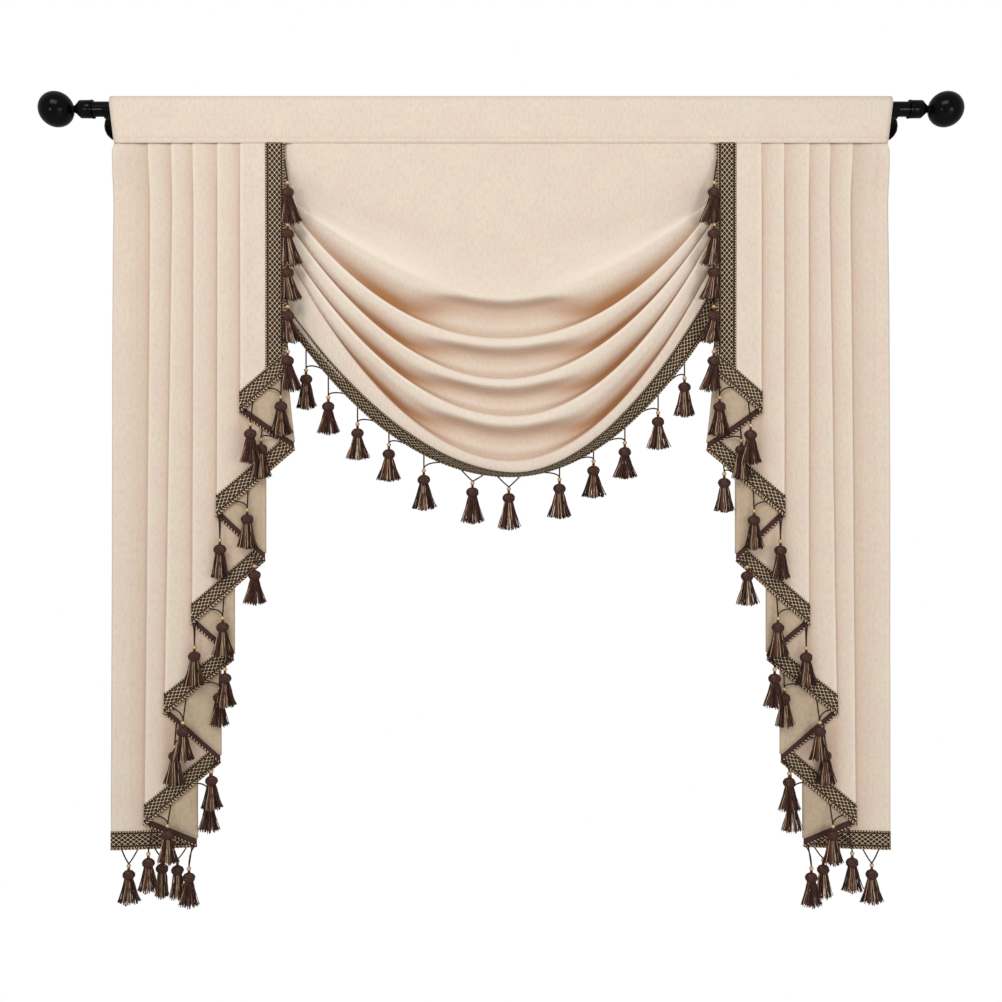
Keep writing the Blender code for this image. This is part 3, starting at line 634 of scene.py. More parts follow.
class Tail:
    def __init__(self, side, turns):
        self.side = side
        self.turns = turns
        self.layers = len(turns) - 1
        self.parts = 2 * self.layers - 1
        self.starts = [0.0]
        for part in range(self.parts):
            a = self.place(part + 0.0001, -300.0, 0.0)
            b = self.place(part + 0.9999, -300.0, 0.0)
            length = math.dist(a, b) * (math.pi / 2.0 if part % 2 else 1.0)
            self.starts.append(self.starts[-1] + length)

    def turnX(self, index, z):
        top, low, hem, power = self.turns[index]
        return mix(top, low, clamp((tailShape["top"] - z) / (tailShape["top"] - hem)) ** power)

    def freed(self, z):
        # 0 at the seam, where the layers are sewn flat, and 1 where they hang free.
        return ease((tailShape["top"] - z) / tailShape["seamReach"])

    def depth(self, layer, z):
        loosening = 1.0 + 0.12 * clamp((tailShape["top"] - z) / 1360.0)
        gaps = sum(tailShape["outerGap"] if i % 2 == 0 else tailShape["innerGap"] for i in range(layer))
        return mix(tailShape["seamGap"] * layer, gaps * loosening, self.freed(z))

    def centreX(self, index, z):
        x = self.turnX(index, z)
        if index in (0, self.layers):
            return x
        radius = (self.depth(index, z) - self.depth(index - 1, z)) / 2.0
        return x - radius if index % 2 else x + radius

    def ends(self, layer, z):
        return self.centreX(layer, z), self.centreX(layer + 1, z)

    def place(self, s, z, offset):
        # s counts flats and bends in turn; offset is towards the face of the cloth.
        part = min(int(s), self.parts - 1)
        share = s - part
        layer = part // 2
        near = self.depth(layer, z)
        if part % 2 == 0:
            start, end = self.ends(layer, z)
            x = mix(start, end, share)
            y = near + (offset if layer % 2 else -offset)
        else:
            far = self.depth(layer + 1, z)
            centre = self.centreX(layer + 1, z)
            angle = math.pi * (share - 0.5)
            outward = 1.0 if layer % 2 == 0 else -1.0
            radius = (far - near) / 2.0 + outward * offset
            x = centre + outward * radius * math.cos(angle)
            y = (near + far) / 2.0 + radius * math.sin(angle)
        sewn = tailShape["seamDepth"] - tailShape["seamLean"] * max(0.0, x - self.turns[1][0])
        hung = tailShape["front"] - tailShape["lean"] * (x - self.turns[0][0])
        y += mix(sewn, hung, self.freed(z))
        loose = clamp((tailShape["top"] - z) / 200.0)
        y += tailShape["wave"] * loose * math.sin(z / 230.0 + x / 120.0 + self.side)
        y += self.rolled(part, x, z) * (0.3 + 0.7 * self.freed(z)) + self.creased(x, z)
        return (self.side * x, y, z)

    def rolled(self, part, x, z):
        # The edge where a fold turns back is rounder than the flat beside it.
        if part % 4 == 3:
            return 0.0
        away = self.turnX(2 * (part // 4) + 1, z) - x
        return tailShape["roll"] * (1.0 - clamp(away / tailShape["rollReach"])) ** 2

    def creased(self, x, z):
        depth = 0.9 * clamp((tailShape["top"] - z) / 120.0) * softness(x, z, 85.0, 7.0 + self.side)
        for middle, half, deep, top, low in tailCreases:
            middle += 9.0 * softness(0.0, z, 210.0, middle) + 3.0 * self.side
            along = ease((top - z) / 60.0) * ease((z - low) / 90.0)
            depth += deep * along * math.exp(-((x - middle) / half) ** 2)
        return depth

    def hem(self, s):
        part = min(int(s), self.parts - 1)
        share = s - part
        layer = part // 2
        step = 1.5  # half of a fold's fall at its bend
        if part % 2 == 0:
            upper = self.turns[layer][2] - (step if layer else 0.0)
            lower = self.turns[layer + 1][2] + (step if layer < self.layers - 1 else 0.0)
            return mix(upper, lower, share)
        return self.turns[layer + 1][2] + step * (1.0 - 2.0 * share)

    def station(self, layer, x, z):
        start, end = self.ends(layer, z)
        return 2 * layer + (x - start) / (end - start)

    def flat(self, s):
        part = min(int(s), self.parts - 1)
        return mix(self.starts[part], self.starts[part + 1], s - part)

    def marks(self, first, last, step, bendSteps):
        made = []
        for part in range(self.parts):
            length = self.starts[part + 1] - self.starts[part]
            count = bendSteps if part % 2 else max(2, round(length / step))
            made += [part + i / count for i in range(count)]
        made.append(float(self.parts))
        return [first] + [m for m in made if first + 0.01 < m < last - 0.01] + [last]

    def shade(self, s, z):
        # Above 0, painted warm shade: where a fold goes in behind the one before it. Below 0, a painted
        # highlight: at its outer edge.
        part = min(int(s), self.parts - 1)
        layer = part // 2
        if part % 2:
            return -tailShape["edgeHighlight"] if layer % 2 == 0 else 0.0
        x = abs(self.place(s, z, 0.0)[0])
        # the back-facing layers get an even painted shade
        if layer % 2:
            return 0.15
        own = self.turnX(layer + 1, z)
        paintedHighlight = -tailShape["edgeHighlight"] * clamp(1.0 - (own - x) / tailShape["edgeHighlightReach"])
        if layer == 0:
            return paintedHighlight
        before = self.turnX(layer - 1, z)
        share = clamp((x - before) / (own - before))
        return tailShape["foldShadeStrength"] * (1.0 - share) ** 2.4 + paintedHighlight

    def edge(self, s, drop, offset):
        return self.place(s, self.hem(s) - drop, offset)


def buildTail(name, tail):
    first = tailShape["braidBeyond"] / 85.0  # the first layer is about 85 mm wide
    grid = []
    for s in tail.marks(first, float(tail.parts), tailShape["flatStep"], tailShape["bendSteps"]):
        low = tail.hem(s) + tailShape["braidBeyond"]
        row = []
        for z in spread(tailShape["sewnTop"], low, tailShape["rows"]):
            row.append((tail.place(s, z, 0.0), (tail.flat(s), z), tail.shade(s, z)))
        grid.append(row)
    return makeSheet(name, [grid], (creamFace, greyBack), tailShape["thickness"], tail.side > 0.0)


def braidPoint(tail, s, z, across, along):
    lift = tailShape["braidOffset"] + latticeRise(across, along) - tailShape["braidSunk"]
    return (tail.place(s, z, lift), (across, along), 0.0)


def buildTailBraid(name, tail):
    width = tailShape["leadWidth"]
    step, strips = 2.2, tailShape["braidStrips"]
    inner = tail.station(0, tail.turns[0][0] + width, -300.0)
    firstMarks = spread(0.0, inner, strips)
    upright = []
    lowest = tail.hem(0.0) + tailShape["braidSlant"]
    count = int((tailShape["top"] - lowest) / step)
    for i, s in enumerate(firstMarks):
        low = tail.hem(s) + tailShape["braidSlant"]
        across = width * (1.0 - i / strips)
        upright.append([braidPoint(tail, s, z, across, z) for z in spread(tailShape["top"], low, count)])
    slant = []
    along = 0.0
    last = None
    marks = firstMarks + tail.marks(inner, float(tail.parts), step, 6)[1:]
    for s in marks:
        onHem = ease((s - 18.6) / 1.0)  # the last layers end level, not on the slant
        rise = mix(tailShape["braidSlant"], tailShape["braidWidth"], onHem)
        lean = 0.62 * (1.0 - onHem)
        low = tail.hem(s)
        point = (tail.flat(s), low)
        along += math.dist(point, last) if last else 0.0
        last = point
        row = []
        for k, z in enumerate(spread(low + rise, low, strips)):
            across = width * (1.0 - k / strips)
            row.append(braidPoint(tail, s, z, across, along - (z - low) * lean))
        slant.append(row)
    materials = (braidFace, braidBack)
    return makeSheet(name, [upright, slant], materials, tailShape["braidThickness"], tail.side > 0.0)


tails = {"left": Tail(-1.0, leftTurns), "right": Tail(1.0, rightTurns)}
tailCloths = {side: buildTail("tail_cloth_" + side, tail) for side, tail in tails.items()}
tailBraids = {side: buildTailBraid("tail_braid_band_" + side, tail) for side, tail in tails.items()}
print("tails ready")


swagShape = {
    "half": 427.0,
    "end": 390.0,
    "topRows": 4,
    "columns": 168,
    "braidSteps": 440,
    "rowSteps": 4,
    "thickness": 2.0,
    "lines": [
        # middle x, middle z, left x, left z, right x, right z, power, middle y, end y, fold depth
        (8.0, -359.0, -366.0, -202.0, 362.0, -208.0, 1.80, -128.0, -84.0, 0.0),
        (5.0, -452.0, -366.0, -248.0, 362.0, -254.0, 2.10, -136.0, -84.0, 25.0),
        (5.0, -530.0, -366.0, -289.0, 362.0, -290.0, 1.98, -142.0, -84.0, 26.0),
        (20.0, -601.0, -366.0, -337.0, 362.0, -332.0, 2.00, -144.0, -85.0, 26.0),
        (20.0, -687.0, -366.0, -377.0, 362.0, -394.0, 1.93, -141.0, -85.0, 26.0),
        (27.0, -705.0, -391.0, -413.0, 388.0, -384.0, 1.85, -138.0, -85.0, 0.0),
        (17.0, -711.0, -394.0, -446.0, 400.0, -428.0, 2.02, -138.0, -85.0, 0.0),
    ],
    "profile": [
        # down, back and painted shade at the middle, then the same three towards the sides; painted shade
        # below 0 is a painted highlight
        (0.00, 0.10, -0.20, 0.00, 0.00, -0.6),
        (0.10, 0.00, -0.40, 0.14, 0.02, -0.25),
        (0.20, 0.10, -0.10, 0.36, 0.12, 0.10),
        (0.26, 0.74, 0.95, 0.60, 0.45, 0.50),
        (0.46, 0.95, 0.80, 0.80, 0.90, 1.0),
        (0.74, 0.74, 0.15, 0.90, 0.97, 1.0),
        (0.93, 0.84, 0.75, 0.96, 0.90, 0.9),
    ],
}


def swagLine(index, x):
    midX, midZ, leftX, leftZ, rightX, rightZ, power, midY, endY = swagShape["lines"][index][:9]
    endX, endZ = (leftX, leftZ) if x < midX else (rightX, rightZ)
    share = abs(x - midX) / abs(endX - midX)
    z = mix(midZ, endZ, share**power)
    y = mix(midY, endY, min(1.0, abs(x) / swagShape["end"]) ** 2.2)
    return y, z


def swagSeam(x):
    # The seam lies further back where the swag goes in behind the tails.
    return mix(tailShape["seamDepth"], -106.5, ease((abs(x) - 398.0) / 18.0))


def braidSlope(x):
    return swagLine(6, x + 0.5)[1] - swagLine(6, x - 0.5)[1]


def braidLow(x):
    highY, highZ = swagLine(5, x)
    lowZ = swagLine(6, x)[1]
    slope = swagLine(6, x + 1.0)[1] - lowZ
    seen = (highZ - lowZ) / math.sqrt(1.0 + slope * slope)
    return highY + math.sqrt(max(0.0, tailShape["braidWidth"] ** 2 - seen**2)), lowZ


def swagColumn(x):
    # Rows of one column: y, z and the painted shade, which follows how deep in a fold it is; below 0 it is a
    # painted highlight on the fold's edge.
    points = []
    seamY = swagSeam(x)
    ridgeY, ridgeZ = swagLine(0, x)
    rows = swagShape["topRows"]
    for r in range(rows):
        t = r / rows
        points.append((mix(seamY, ridgeY, t * t), mix(tailShape["sewnTop"], ridgeZ, t), 0.0))
    share = min(1.0, abs(x) / swagShape["end"])
    reach = 1.0 - 0.74 * share**1.8
    aside = ease((share - 0.16) / 0.34)
    sharper = mix(1.0, 0.5, ease((share - 0.58) / 0.3))
    # painted shade is strongest part way out towards the sides, where the folds lie deepest
    paintedShadeStrength = 0.46 + 0.54 * math.exp(-((share - 0.56) / 0.26) ** 2)
    for k in range(4):
        y0, z0 = swagLine(k, x)
        y1, z1 = swagLine(k + 1, x)
        depth = swagShape["lines"][k + 1][9] * reach
        for middleDown, middleBack, middlePaintedShade, down, back, paintedShade in swagShape["profile"]:
            down = mix(middleDown, down if k == 0 else down**sharper, aside)
            back, paintedShade = mix(middleBack, back, aside), mix(middlePaintedShade, paintedShade, aside)
            paintedShade = paintedShadeStrength * paintedShade if paintedShade > 0.0 else paintedShade
            points.append((mix(y0, y1, down) + depth * back, mix(z0, z1, down), paintedShade))
    points.append(swagLine(4, x) + (0.0,))
    high, low = swagLine(5, x), braidLow(x)
    points.append(high + (0.0,))
    share = 1.0 - tailShape["braidBeyond"] / tailShape["braidWidth"]
    points.append((mix(high[0], low[0], share), mix(high[1], low[1], share), 0.0))
    return points


swagCreases = [
    # line it follows, share of the way to the next, half width, depth, from x, to x
    (0, -0.12, 7.0, 3.6, -380.0, -60.0),
    (0, 0.05, 5.0, -1.6, -380.0, -60.0),
    (0, 0.05, 5.0, -1.6, 60.0, 380.0),
    (0, -0.14, 8.0, 4.6, 50.0, 400.0),
    (1, 0.50, 8.0, 1.8, 60.0, 330.0),
    (2, 0.55, 7.0, -1.4, 40.0, 300.0),
    (3, 0.45, 7.0, 1.6, -300.0, -60.0),
    (3, 0.50, 6.0, 1.6, 100.0, 350.0),
    (4, 0.35, 7.0, 1.2, -330.0, 330.0),
]


def swagCreased(x, z):
    depth = 1.3 * ease((tailShape["top"] - z) / 80.0) * softness(x, z, 70.0, 11.0)
    for line, share, half, deep, fromX, toX in swagCreases:
        z0 = swagLine(line, x)[1]
        z1 = swagLine(line + 1, x)[1]
        along = ease((x - fromX) / 70.0) * ease((toX - x) / 70.0)
        depth += deep * along * math.exp(-((z - mix(z0, z1, share)) / half) ** 2)
    return depth


def buildSwag():
    columns = []
    longest = 0.0
    for x in spread(-swagShape["half"], swagShape["half"], swagShape["columns"]):
        curve = curvePoints(swagColumn(x), swagShape["rowSteps"])
        path = 0.0
        last = curve[0]
        column = []
        for y, z, paintedShade in curve:
            path += math.dist((y, z), last[:2])
            last = (y, z)
            column.append(((x, y + swagCreased(x, z) * ease(path / 60.0), z), (x, -path), paintedShade))
        columns.append(column)
        longest = max(longest, path)
    print("swag: longest column", round(longest), "mm")
    made = makeSheet("swag_cloth", [columns], (creamFace, greyBack), swagShape["thickness"], True)
    return made, longest


def bandPoint(x, share):
    high, low = swagLine(5, x), braidLow(x)
    return Vector((x, mix(high[0], low[0], share), mix(high[1], low[1], share)))


def buildSwagBraid():
    columns = []
    along = 0.0
    last = None
    for x in spread(-swagShape["half"], swagShape["half"], swagShape["braidSteps"]):
        low = bandPoint(x, 1.0)
        along += (low - last).length if last else 0.0
        last = low
        slope = braidSlope(x)
        lean = slope / math.sqrt(1.0 + slope * slope)
        column = []
        for share in spread(0.0, 1.0, tailShape["braidStrips"]):
            point = bandPoint(x, share)
            across = bandPoint(x + 1.0, share) - bandPoint(x - 1.0, share)
            down = bandPoint(x, min(1.0, share + 0.05)) - bandPoint(x, max(0.0, share - 0.05))
            normal = down.cross(across).normalized()
            flat = (braidFinish["width"] * (1.0 - share), along + (point.z - low.z) * lean)
            point = point + normal * (tailShape["braidOffset"] + latticeRise(*flat) - tailShape["braidSunk"])
            column.append((tuple(point), flat, 0.0))
        columns.append(column)
    return makeSheet("swag_braid_band", [columns], (braidFace, braidBack), tailShape["braidThickness"], True)


swagCloth, swagPath = buildSwag()
swagBraid = buildSwagBraid()
print("swag ready")


# A tassel's bead, wound head and strand are modelled once and copied.
tasselShape = {
    "beadRadius": 4.3,
    "smallBeadRadius": 3.0,
    "headDrop": 17.8,
    "headHalf": (12.6, 8.6, 10.2),
    "length": 76.0,
    "width": 40.0,
    "skirtTop": 26.0,
    "skirtTopHalf": 7.8,
    "flatness": 0.40,
    "strands": 84,
    "strandRadius": 0.88,
    "kinds": 4,
}


def meshArrays(thing):
    verts = np.array([tuple(v.co) for v in thing.data.vertices])
    faces = [tuple(p.vertices) for p in thing.data.polygons]
    bpy.data.objects.remove(thing, do_unlink=True)
    return verts, faces


def modelBead(radius):
    bpy.ops.object.select_all(action="DESELECT")
    bpy.ops.mesh.primitive_uv_sphere_add(segments=14, ring_count=9, radius=radius)
    bpy.ops.object.mode_set(mode="EDIT")
    bpy.ops.mesh.select_all(action="DESELECT")
    bpy.ops.mesh.select_mode(type="VERT")
    bpy.ops.object.mode_set(mode="OBJECT")
    bead = bpy.context.object
    for vert in bead.data.vertices:
        vert.select = abs(vert.co.z) > radius * 0.99
    bpy.ops.object.mode_set(mode="EDIT")
    bpy.ops.transform.resize(value=(1.0, 1.0, 0.55), center_override=(0.0, 0.0, 0.0))  # the thread hole
    bpy.ops.mesh.select_all(action="SELECT")
    bpy.ops.transform.resize(value=(1.0, 1.0, 0.9), center_override=(0.0, 0.0, 0.0))
    bpy.ops.object.mode_set(mode="OBJECT")
    return meshArrays(bead)


def modelHead():
    # A ball pulled into slanting ribs, like yarn wound over a core.
    halfX, halfY, halfZ = tasselShape["headHalf"]
    segments = 28
    bpy.ops.object.select_all(action="DESELECT")
    bpy.ops.mesh.primitive_uv_sphere_add(segments=segments, ring_count=11, radius=1.0)
    head = bpy.context.object
    bpy.ops.object.mode_set(mode="EDIT")
    bpy.ops.mesh.select_all(action="DESELECT")
    bpy.ops.object.mode_set(mode="OBJECT")
    for vert in head.data.vertices:
        turn = math.atan2(vert.co.y, vert.co.x) / (2.0 * math.pi) * segments
        vert.select = abs(vert.co.z) < 0.9 and round(turn) % 4 in (0, 1)
    bpy.ops.object.mode_set(mode="EDIT")
    # grooves between the ribs
    bpy.ops.transform.resize(value=(0.84, 0.84, 1.0), center_override=(0.0, 0.0, 0.0))
    bpy.ops.mesh.select_all(action="DESELECT")
    bpy.ops.object.mode_set(mode="OBJECT")
    heights = sorted({round(v.co.z, 4) for v in head.data.vertices})
    for k, height in enumerate(heights):
        for vert in head.data.vertices:
            vert.select = abs(vert.co.z - height) < 0.001
        bpy.ops.object.mode_set(mode="EDIT")
        bpy.ops.transform.rotate(value=0.11 * k, orient_axis="Z", center_override=(0.0, 0.0, 0.0))
        bpy.ops.mesh.select_all(action="DESELECT")
        bpy.ops.object.mode_set(mode="OBJECT")
    for vert in head.data.vertices:
        vert.select = vert.co.z > 0.99
    bpy.ops.object.mode_set(mode="EDIT")
    bpy.ops.transform.translate(value=(0.0, 0.0, -0.35))  # drawn in under the bead
    bpy.ops.mesh.select_all(action="SELECT")
    bpy.ops.transform.resize(value=(halfX, halfY, halfZ), center_override=(0.0, 0.0, 0.0))
    bpy.ops.object.mode_set(mode="OBJECT")
    return meshArrays(head)


def modelStrand():
    # Three sides and six lengths, standing from z = 0 to 1 with radius 1.
    bpy.ops.object.select_all(action="DESELECT")
    bpy.ops.mesh.primitive_cylinder_add(
        vertices=3, radius=1.0, depth=1.0, location=(0.0, 0.0, 0.5), end_fill_type="NGON",
    )
    strand = bpy.context.object
    bpy.ops.object.transform_apply(location=True, rotation=False, scale=False)
    bpy.ops.object.mode_set(mode="EDIT")
    for k in range(1, 6):
        bpy.ops.mesh.select_all(action="SELECT")
        bpy.ops.mesh.bisect(plane_co=(0.0, 0.0, k / 6.0), plane_no=(0.0, 0.0, 1.0))
    bpy.ops.object.mode_set(mode="OBJECT")
    return meshArrays(strand)


class Bundle:
    # Gathers many small shapes into one mesh.
    def __init__(self):
        self.verts, self.faces, self.yarn, self.slots = [], [], [], []
        self.count = 0

    def add(self, verts, faces, yarnValue, slot=0):
        values = np.full(len(verts), yarnValue) if np.isscalar(yarnValue) else yarnValue
        self.addArrays(verts, faces, values, [slot] * len(faces))

    def addArrays(self, verts, faces, yarnValues, slots):
        self.verts.append(verts)
        self.faces += [tuple(i + self.count for i in face) for face in faces]
        self.yarn.append(yarnValues)
        self.slots += slots
        self.count += len(verts)

    def arrays(self):
        return np.concatenate(self.verts), self.faces, np.concatenate(self.yarn), self.slots

    def finish(self, name, materials):
        verts, faces, yarnValues, slots = self.arrays()
        mesh = bpy.data.meshes.new(name)
        mesh.from_pydata((verts * mm).tolist(), [], faces)
        layer = mesh.attributes.new("yarn", "FLOAT", "POINT")
        layer.data.foreach_set("value", yarnValues.astype(np.float32))
        mesh.polygons.foreach_set("material_index", slots)
        mesh.polygons.foreach_set("use_smooth", [True] * len(faces))
        for material in materials:
            mesh.materials.append(material)
        mesh.update()
        made = bpy.data.objects.new(name, mesh)
        scene.collection.objects.link(made)
        return made


bead = modelBead(tasselShape["beadRadius"])
smallBead = modelBead(tasselShape["smallBeadRadius"])
head = modelHead()
strand = modelStrand()


def makeTasselKind(seed):
    # Hangs from z = 0 at the bead's centre; every strand has its own end, bow and colour.
    rng = random.Random(seed)
    made = Bundle()
    made.add(bead[0], bead[1], 1.0, 1)
    made.add(smallBead[0] + np.array((0.0, 0.0, -5.6)), smallBead[1], 0.38)
    headVerts = head[0].copy()
    turn = rng.uniform(-0.5, 0.5)
    across = headVerts[:, 0] * math.cos(turn) - headVerts[:, 1] * 1.4 * math.sin(turn)
    deep = headVerts[:, 0] * math.sin(turn) / 1.4 + headVerts[:, 1] * math.cos(turn)
    headVerts[:, 0], headVerts[:, 1] = across, deep
    headVerts[:, 2] -= tasselShape["headDrop"]
    angle = np.arctan2(headVerts[:, 1], headVerts[:, 0]) + headVerts[:, 2] * 0.16
    made.add(headVerts, head[1], 0.12 + 0.26 * (np.sin(angle * 7.0) > 0.1))
    count = tasselShape["strands"]
    for i in range(count):
        ring = 0.55 if i % 3 == 0 else 1.0
        around = 2.0 * math.pi * (i / count + rng.uniform(-0.006, 0.006)) + (0.3 if ring < 1.0 else 0.0)
        top = tasselShape["skirtTopHalf"] * ring
        low = (tasselShape["width"] / 2.0 + 1.0) * ring * rng.uniform(0.80, 1.08)
        end = tasselShape["length"] * (1.0 - 0.05 * (math.cos(around) ** 2)) - rng.uniform(0.0, 4.5)
        start = tasselShape["skirtTop"] - 2.0
        bow = rng.uniform(-1.3, 1.3)
        sway = rng.uniform(-2.4, 2.4)
        t = strand[0][:, 2]
        flare = top + (low - top) * (0.75 * t + 0.25 * t * t)
        pick = rng.random()
        value = 0.1 if pick < 0.40 else 0.38 if pick < 0.66 else 0.62 if pick < 0.80 else 0.95
        thinner = 0.72 if value > 0.9 else rng.uniform(0.9, 1.2)  # the gold threads are the finest
        size = tasselShape["strandRadius"] * (0.75 + 0.35 * t) * thinner
        x = flare * math.cos(around) + sway * t * t + bow * np.sin(t * 6.2) + strand[0][:, 0] * size
        y = flare * math.sin(around) * tasselShape["flatness"] + strand[0][:, 1] * size * 0.8
        z = -(start + (end - start) * t)
        made.add(np.stack((x, y, z), axis=1), [face[::-1] for face in strand[1]], value)
    return made.arrays()


kinds = [makeTasselKind(seed) for seed in range(tasselShape["kinds"])]
print("tassel kinds ready:", len(kinds[0][1]), "faces each")


def hangTassel(bundle, beadPlace, width, length, lean, kind):
    # Only the skirt is widened, lengthened and leaned; the bead and head keep their size.
    verts, faces, yarnValues, slots = kinds[kind % len(kinds)]
    verts = verts.copy()
    skirtTop = tasselShape["skirtTop"]
    skirtLength = tasselShape["length"] - skirtTop
    down = -verts[:, 2]
    skirt = np.clip((down - skirtTop) / skirtLength, 0.0, 1.2)
    wide = 1.0 + (width / tasselShape["width"] - 1.0) * np.clip(skirt * 1.5, 0.0, 1.0)
    verts[:, 0] = verts[:, 0] * wide + lean * skirt
    stretch = (length - skirtTop) / skirtLength
    verts[:, 2] = np.where(down > skirtTop, -(skirtTop + (down - skirtTop) * stretch), -down)
    bundle.addArrays(verts + np.array(beadPlace), faces, yarnValues, slots)


def addTube(bundle, rings, yarnValue):
    faces = []
    sides = len(rings[0])
    for i in range(len(rings) - 1):
        for k in range(sides):
            a, b = i * sides + k, i * sides + (k + 1) % sides
            faces.append((a, a + sides, b + sides, b))
    faces.append(tuple(range(sides)))
    faces.append(tuple(reversed(range((len(rings) - 1) * sides, len(rings) * sides))))
    bundle.add(np.array([tuple(p) for ring in rings for p in ring]), faces, yarnValue)


def evenPath(points, step):
    points = [Vector(p) for p in points]
    made = [points[0]]
    left = step
    for a, b in zip(points, points[1:]):
        length = (b - a).length
        at = left
        while at <= length and length > 0.0:
            made.append(a.lerp(b, at / length))
            at += step
        left = at - length
    if (made[-1] - points[-1]).length > step * 0.3:
        made.append(points[-1])
    return made


def pathFrames(path):
    frames = []
    side = None
    for i, point in enumerate(path):
        ahead = (path[min(i + 1, len(path) - 1)] - path[max(i - 1, 0)]).normalized()
        if side is None:
            side = ahead.cross(Vector((0.0, 1.0, 0.0)))
            side = side if side.length > 0.1 else ahead.cross(Vector((1.0, 0.0, 0.0)))
        side = (side - ahead * side.dot(ahead)).normalized()
        frames.append((point, side, ahead.cross(side)))
    return frames


edgeCord = {"radius": 1.9, "pitch": 7.0, "steps": 6, "sides": 8}
hangingCord = {
    "radius": 1.45,
    "angles": (0.0, 1.257, 2.513, 3.77, 5.027),
    "aboveBead": 3.6,
    "hookReach": 33.0,
}


def addTwistedCord(bundle, points, size=1.0):
    # Two plies, one pale and one dark, wound round each other.
    step = edgeCord["pitch"] / edgeCord["steps"]
    rings, values = [], []
    for i, (point, u, v) in enumerate(pathFrames(evenPath(points, step))):
        twist = 2.0 * math.pi * i / edgeCord["steps"]
        ring = []
        for k in range(edgeCord["sides"]):
            angle = 2.0 * math.pi * k / edgeCord["sides"]
            ply = math.cos(angle - twist)
            radius = size * edgeCord["radius"] * (0.64 + 0.36 * abs(ply))
            ring.append(point + (u * math.cos(angle) + v * math.sin(angle)) * radius)
            values.append(0.95 if ply > 0.1 else 0.1)
        rings.append(ring)
    addTube(bundle, rings, np.array(values))


def addHangingCord(bundle, points):
    rings = []
    radius, angles = hangingCord["radius"], hangingCord["angles"]
    for point, u, v in pathFrames([Vector(p) for p in curvePoints(points, 3)]):
        rings.append([point + (u * math.cos(a) + v * math.sin(a)) * radius for a in angles])
    addTube(bundle, rings, 0.1)


def addHook(bundle, anchor, beadTop):
    # Leaves the edge level, rises a little and dives into the bead.
    a, b = Vector(anchor), Vector(beadTop)
    rise = a.z - b.z
    crest = max(rise, 8.0)
    points = []
    for share in (0.0, 0.2, 0.42, 0.62, 0.79, 0.91, 0.98, 1.0):
        point = a.lerp(b, share)
        point.z = b.z + crest * math.sqrt(1.0 - share**2.4) - (crest - rise) * (1.0 - share) ** 1.6
        points.append(tuple(point))
    addHangingCord(bundle, points)


def addStraightCord(bundle, anchor, beadTop, sag):
    a, b = Vector(anchor), Vector(beadTop)
    middle = a.lerp(b, 0.5) + Vector((0.0, 0.0, -sag))
    addHangingCord(bundle, [tuple(a), tuple(middle), tuple(b)])


swagTassels = [
    # x, bead z, skirt end z, width
    (-384.0, -503.0, -582.0, 32.0),
    (-338.0, -558.0, -632.0, 36.0),
    (-279.0, -611.0, -682.0, 38.0),
    (-217.0, -652.0, -724.0, 38.0),
    (-149.0, -702.0, -780.0, 38.0),
    (-55.0, -726.0, -806.0, 36.0),
    (15.0, -737.0, -818.0, 36.0),
    (113.0, -719.0, -796.0, 38.0),
    (179.0, -684.0, -756.0, 38.0),
    (240.0, -648.0, -719.0, 38.0),
    (305.0, -589.0, -662.0, 38.0),
    (356.0, -522.0, -599.0, 34.0),
]
fringeMaterials = (yarn, beadGold)


swagHang = {
    "pairWithin": 60.0,  # the two lowest tassels hang from a pair of slanting cords
    "pairLeft": 23.0,
    "pairRight": 22.0,
    "skirtWidth": 1.1,
}


def cordEnd(beadPlace):
    return (beadPlace[0], beadPlace[1], beadPlace[2] + hangingCord["aboveBead"])


def swagEdge(x):
    y, z = braidLow(x)
    return (x, y - 1.0, z - 2.0)


def buildSwagFringe():
    bundle = Bundle()
    addTwistedCord(bundle, [swagEdge(x) for x in spread(-swagShape["half"], swagShape["half"], 420)])
    for kind, (x, beadZ, endZ, width) in enumerate(swagTassels):
        place = swagEdge(x)[:2] + (beadZ,)
        top = cordEnd(place)
        if abs(x) < swagHang["pairWithin"]:
            addStraightCord(bundle, swagEdge(x - swagHang["pairLeft"]), top, 0.6)
            addStraightCord(bundle, swagEdge(x + swagHang["pairRight"]), top, 0.6)
        else:
            reach = math.copysign(hangingCord["hookReach"], -braidSlope(x))
            addStraightCord(bundle, swagEdge(x), top, 0.0)
            addHook(bundle, swagEdge(x + reach), top)
        hangTassel(bundle, place, width * swagHang["skirtWidth"], beadZ - endZ, 0.0, kind)
    return bundle.finish("swag_fringe_tassels", fringeMaterials)


leftCascade = [
    # layer, x, bead z, forward, width
    (0, 423.0, -561.0, 8.0, 40.0),
    (0, 477.0, -615.0, 22.0, 36.0),
    (1, 461.0, -643.0, 8.0, 36.0),
    (2, 488.0, -778.0, 9.0, 34.0),
    (2, 540.0, -836.0, 8.0, 32.0),
    (3, 475.0, -886.0, 8.0, 40.0),
    (4, 536.0, -986.0, 11.0, 40.0),
    (4, 590.0, -1042.0, 8.0, 38.0),
    (5, 531.0, -1084.0, 17.0, 38.0),
    (6, 546.0, -1124.0, 6.4, 34.0),
    (6, 610.0, -1186.0, 22.0, 38.0),
    (7, 631.0, -1236.0, 8.0, 38.0),
    (7, 558.0, -1282.0, 22.0, 38.0),
    (8, 568.0, -1330.0, 8.0, 38.0),
    (8, 642.0, -1386.0, 22.0, 38.0),
]
leftHem = [
    # layer, x, bead z, forward, width
    (9, 680.0, -1441.0, 20.0, 38.0),
    (9, 604.0, -1472.0, 20.0, 36.0),
    (10, 631.0, -1463.0, 8.0, 30.0),
    (10, 660.0, -1459.0, 8.0, 24.0),
    (10, 723.0, -1469.0, 8.0, 40.0),
]
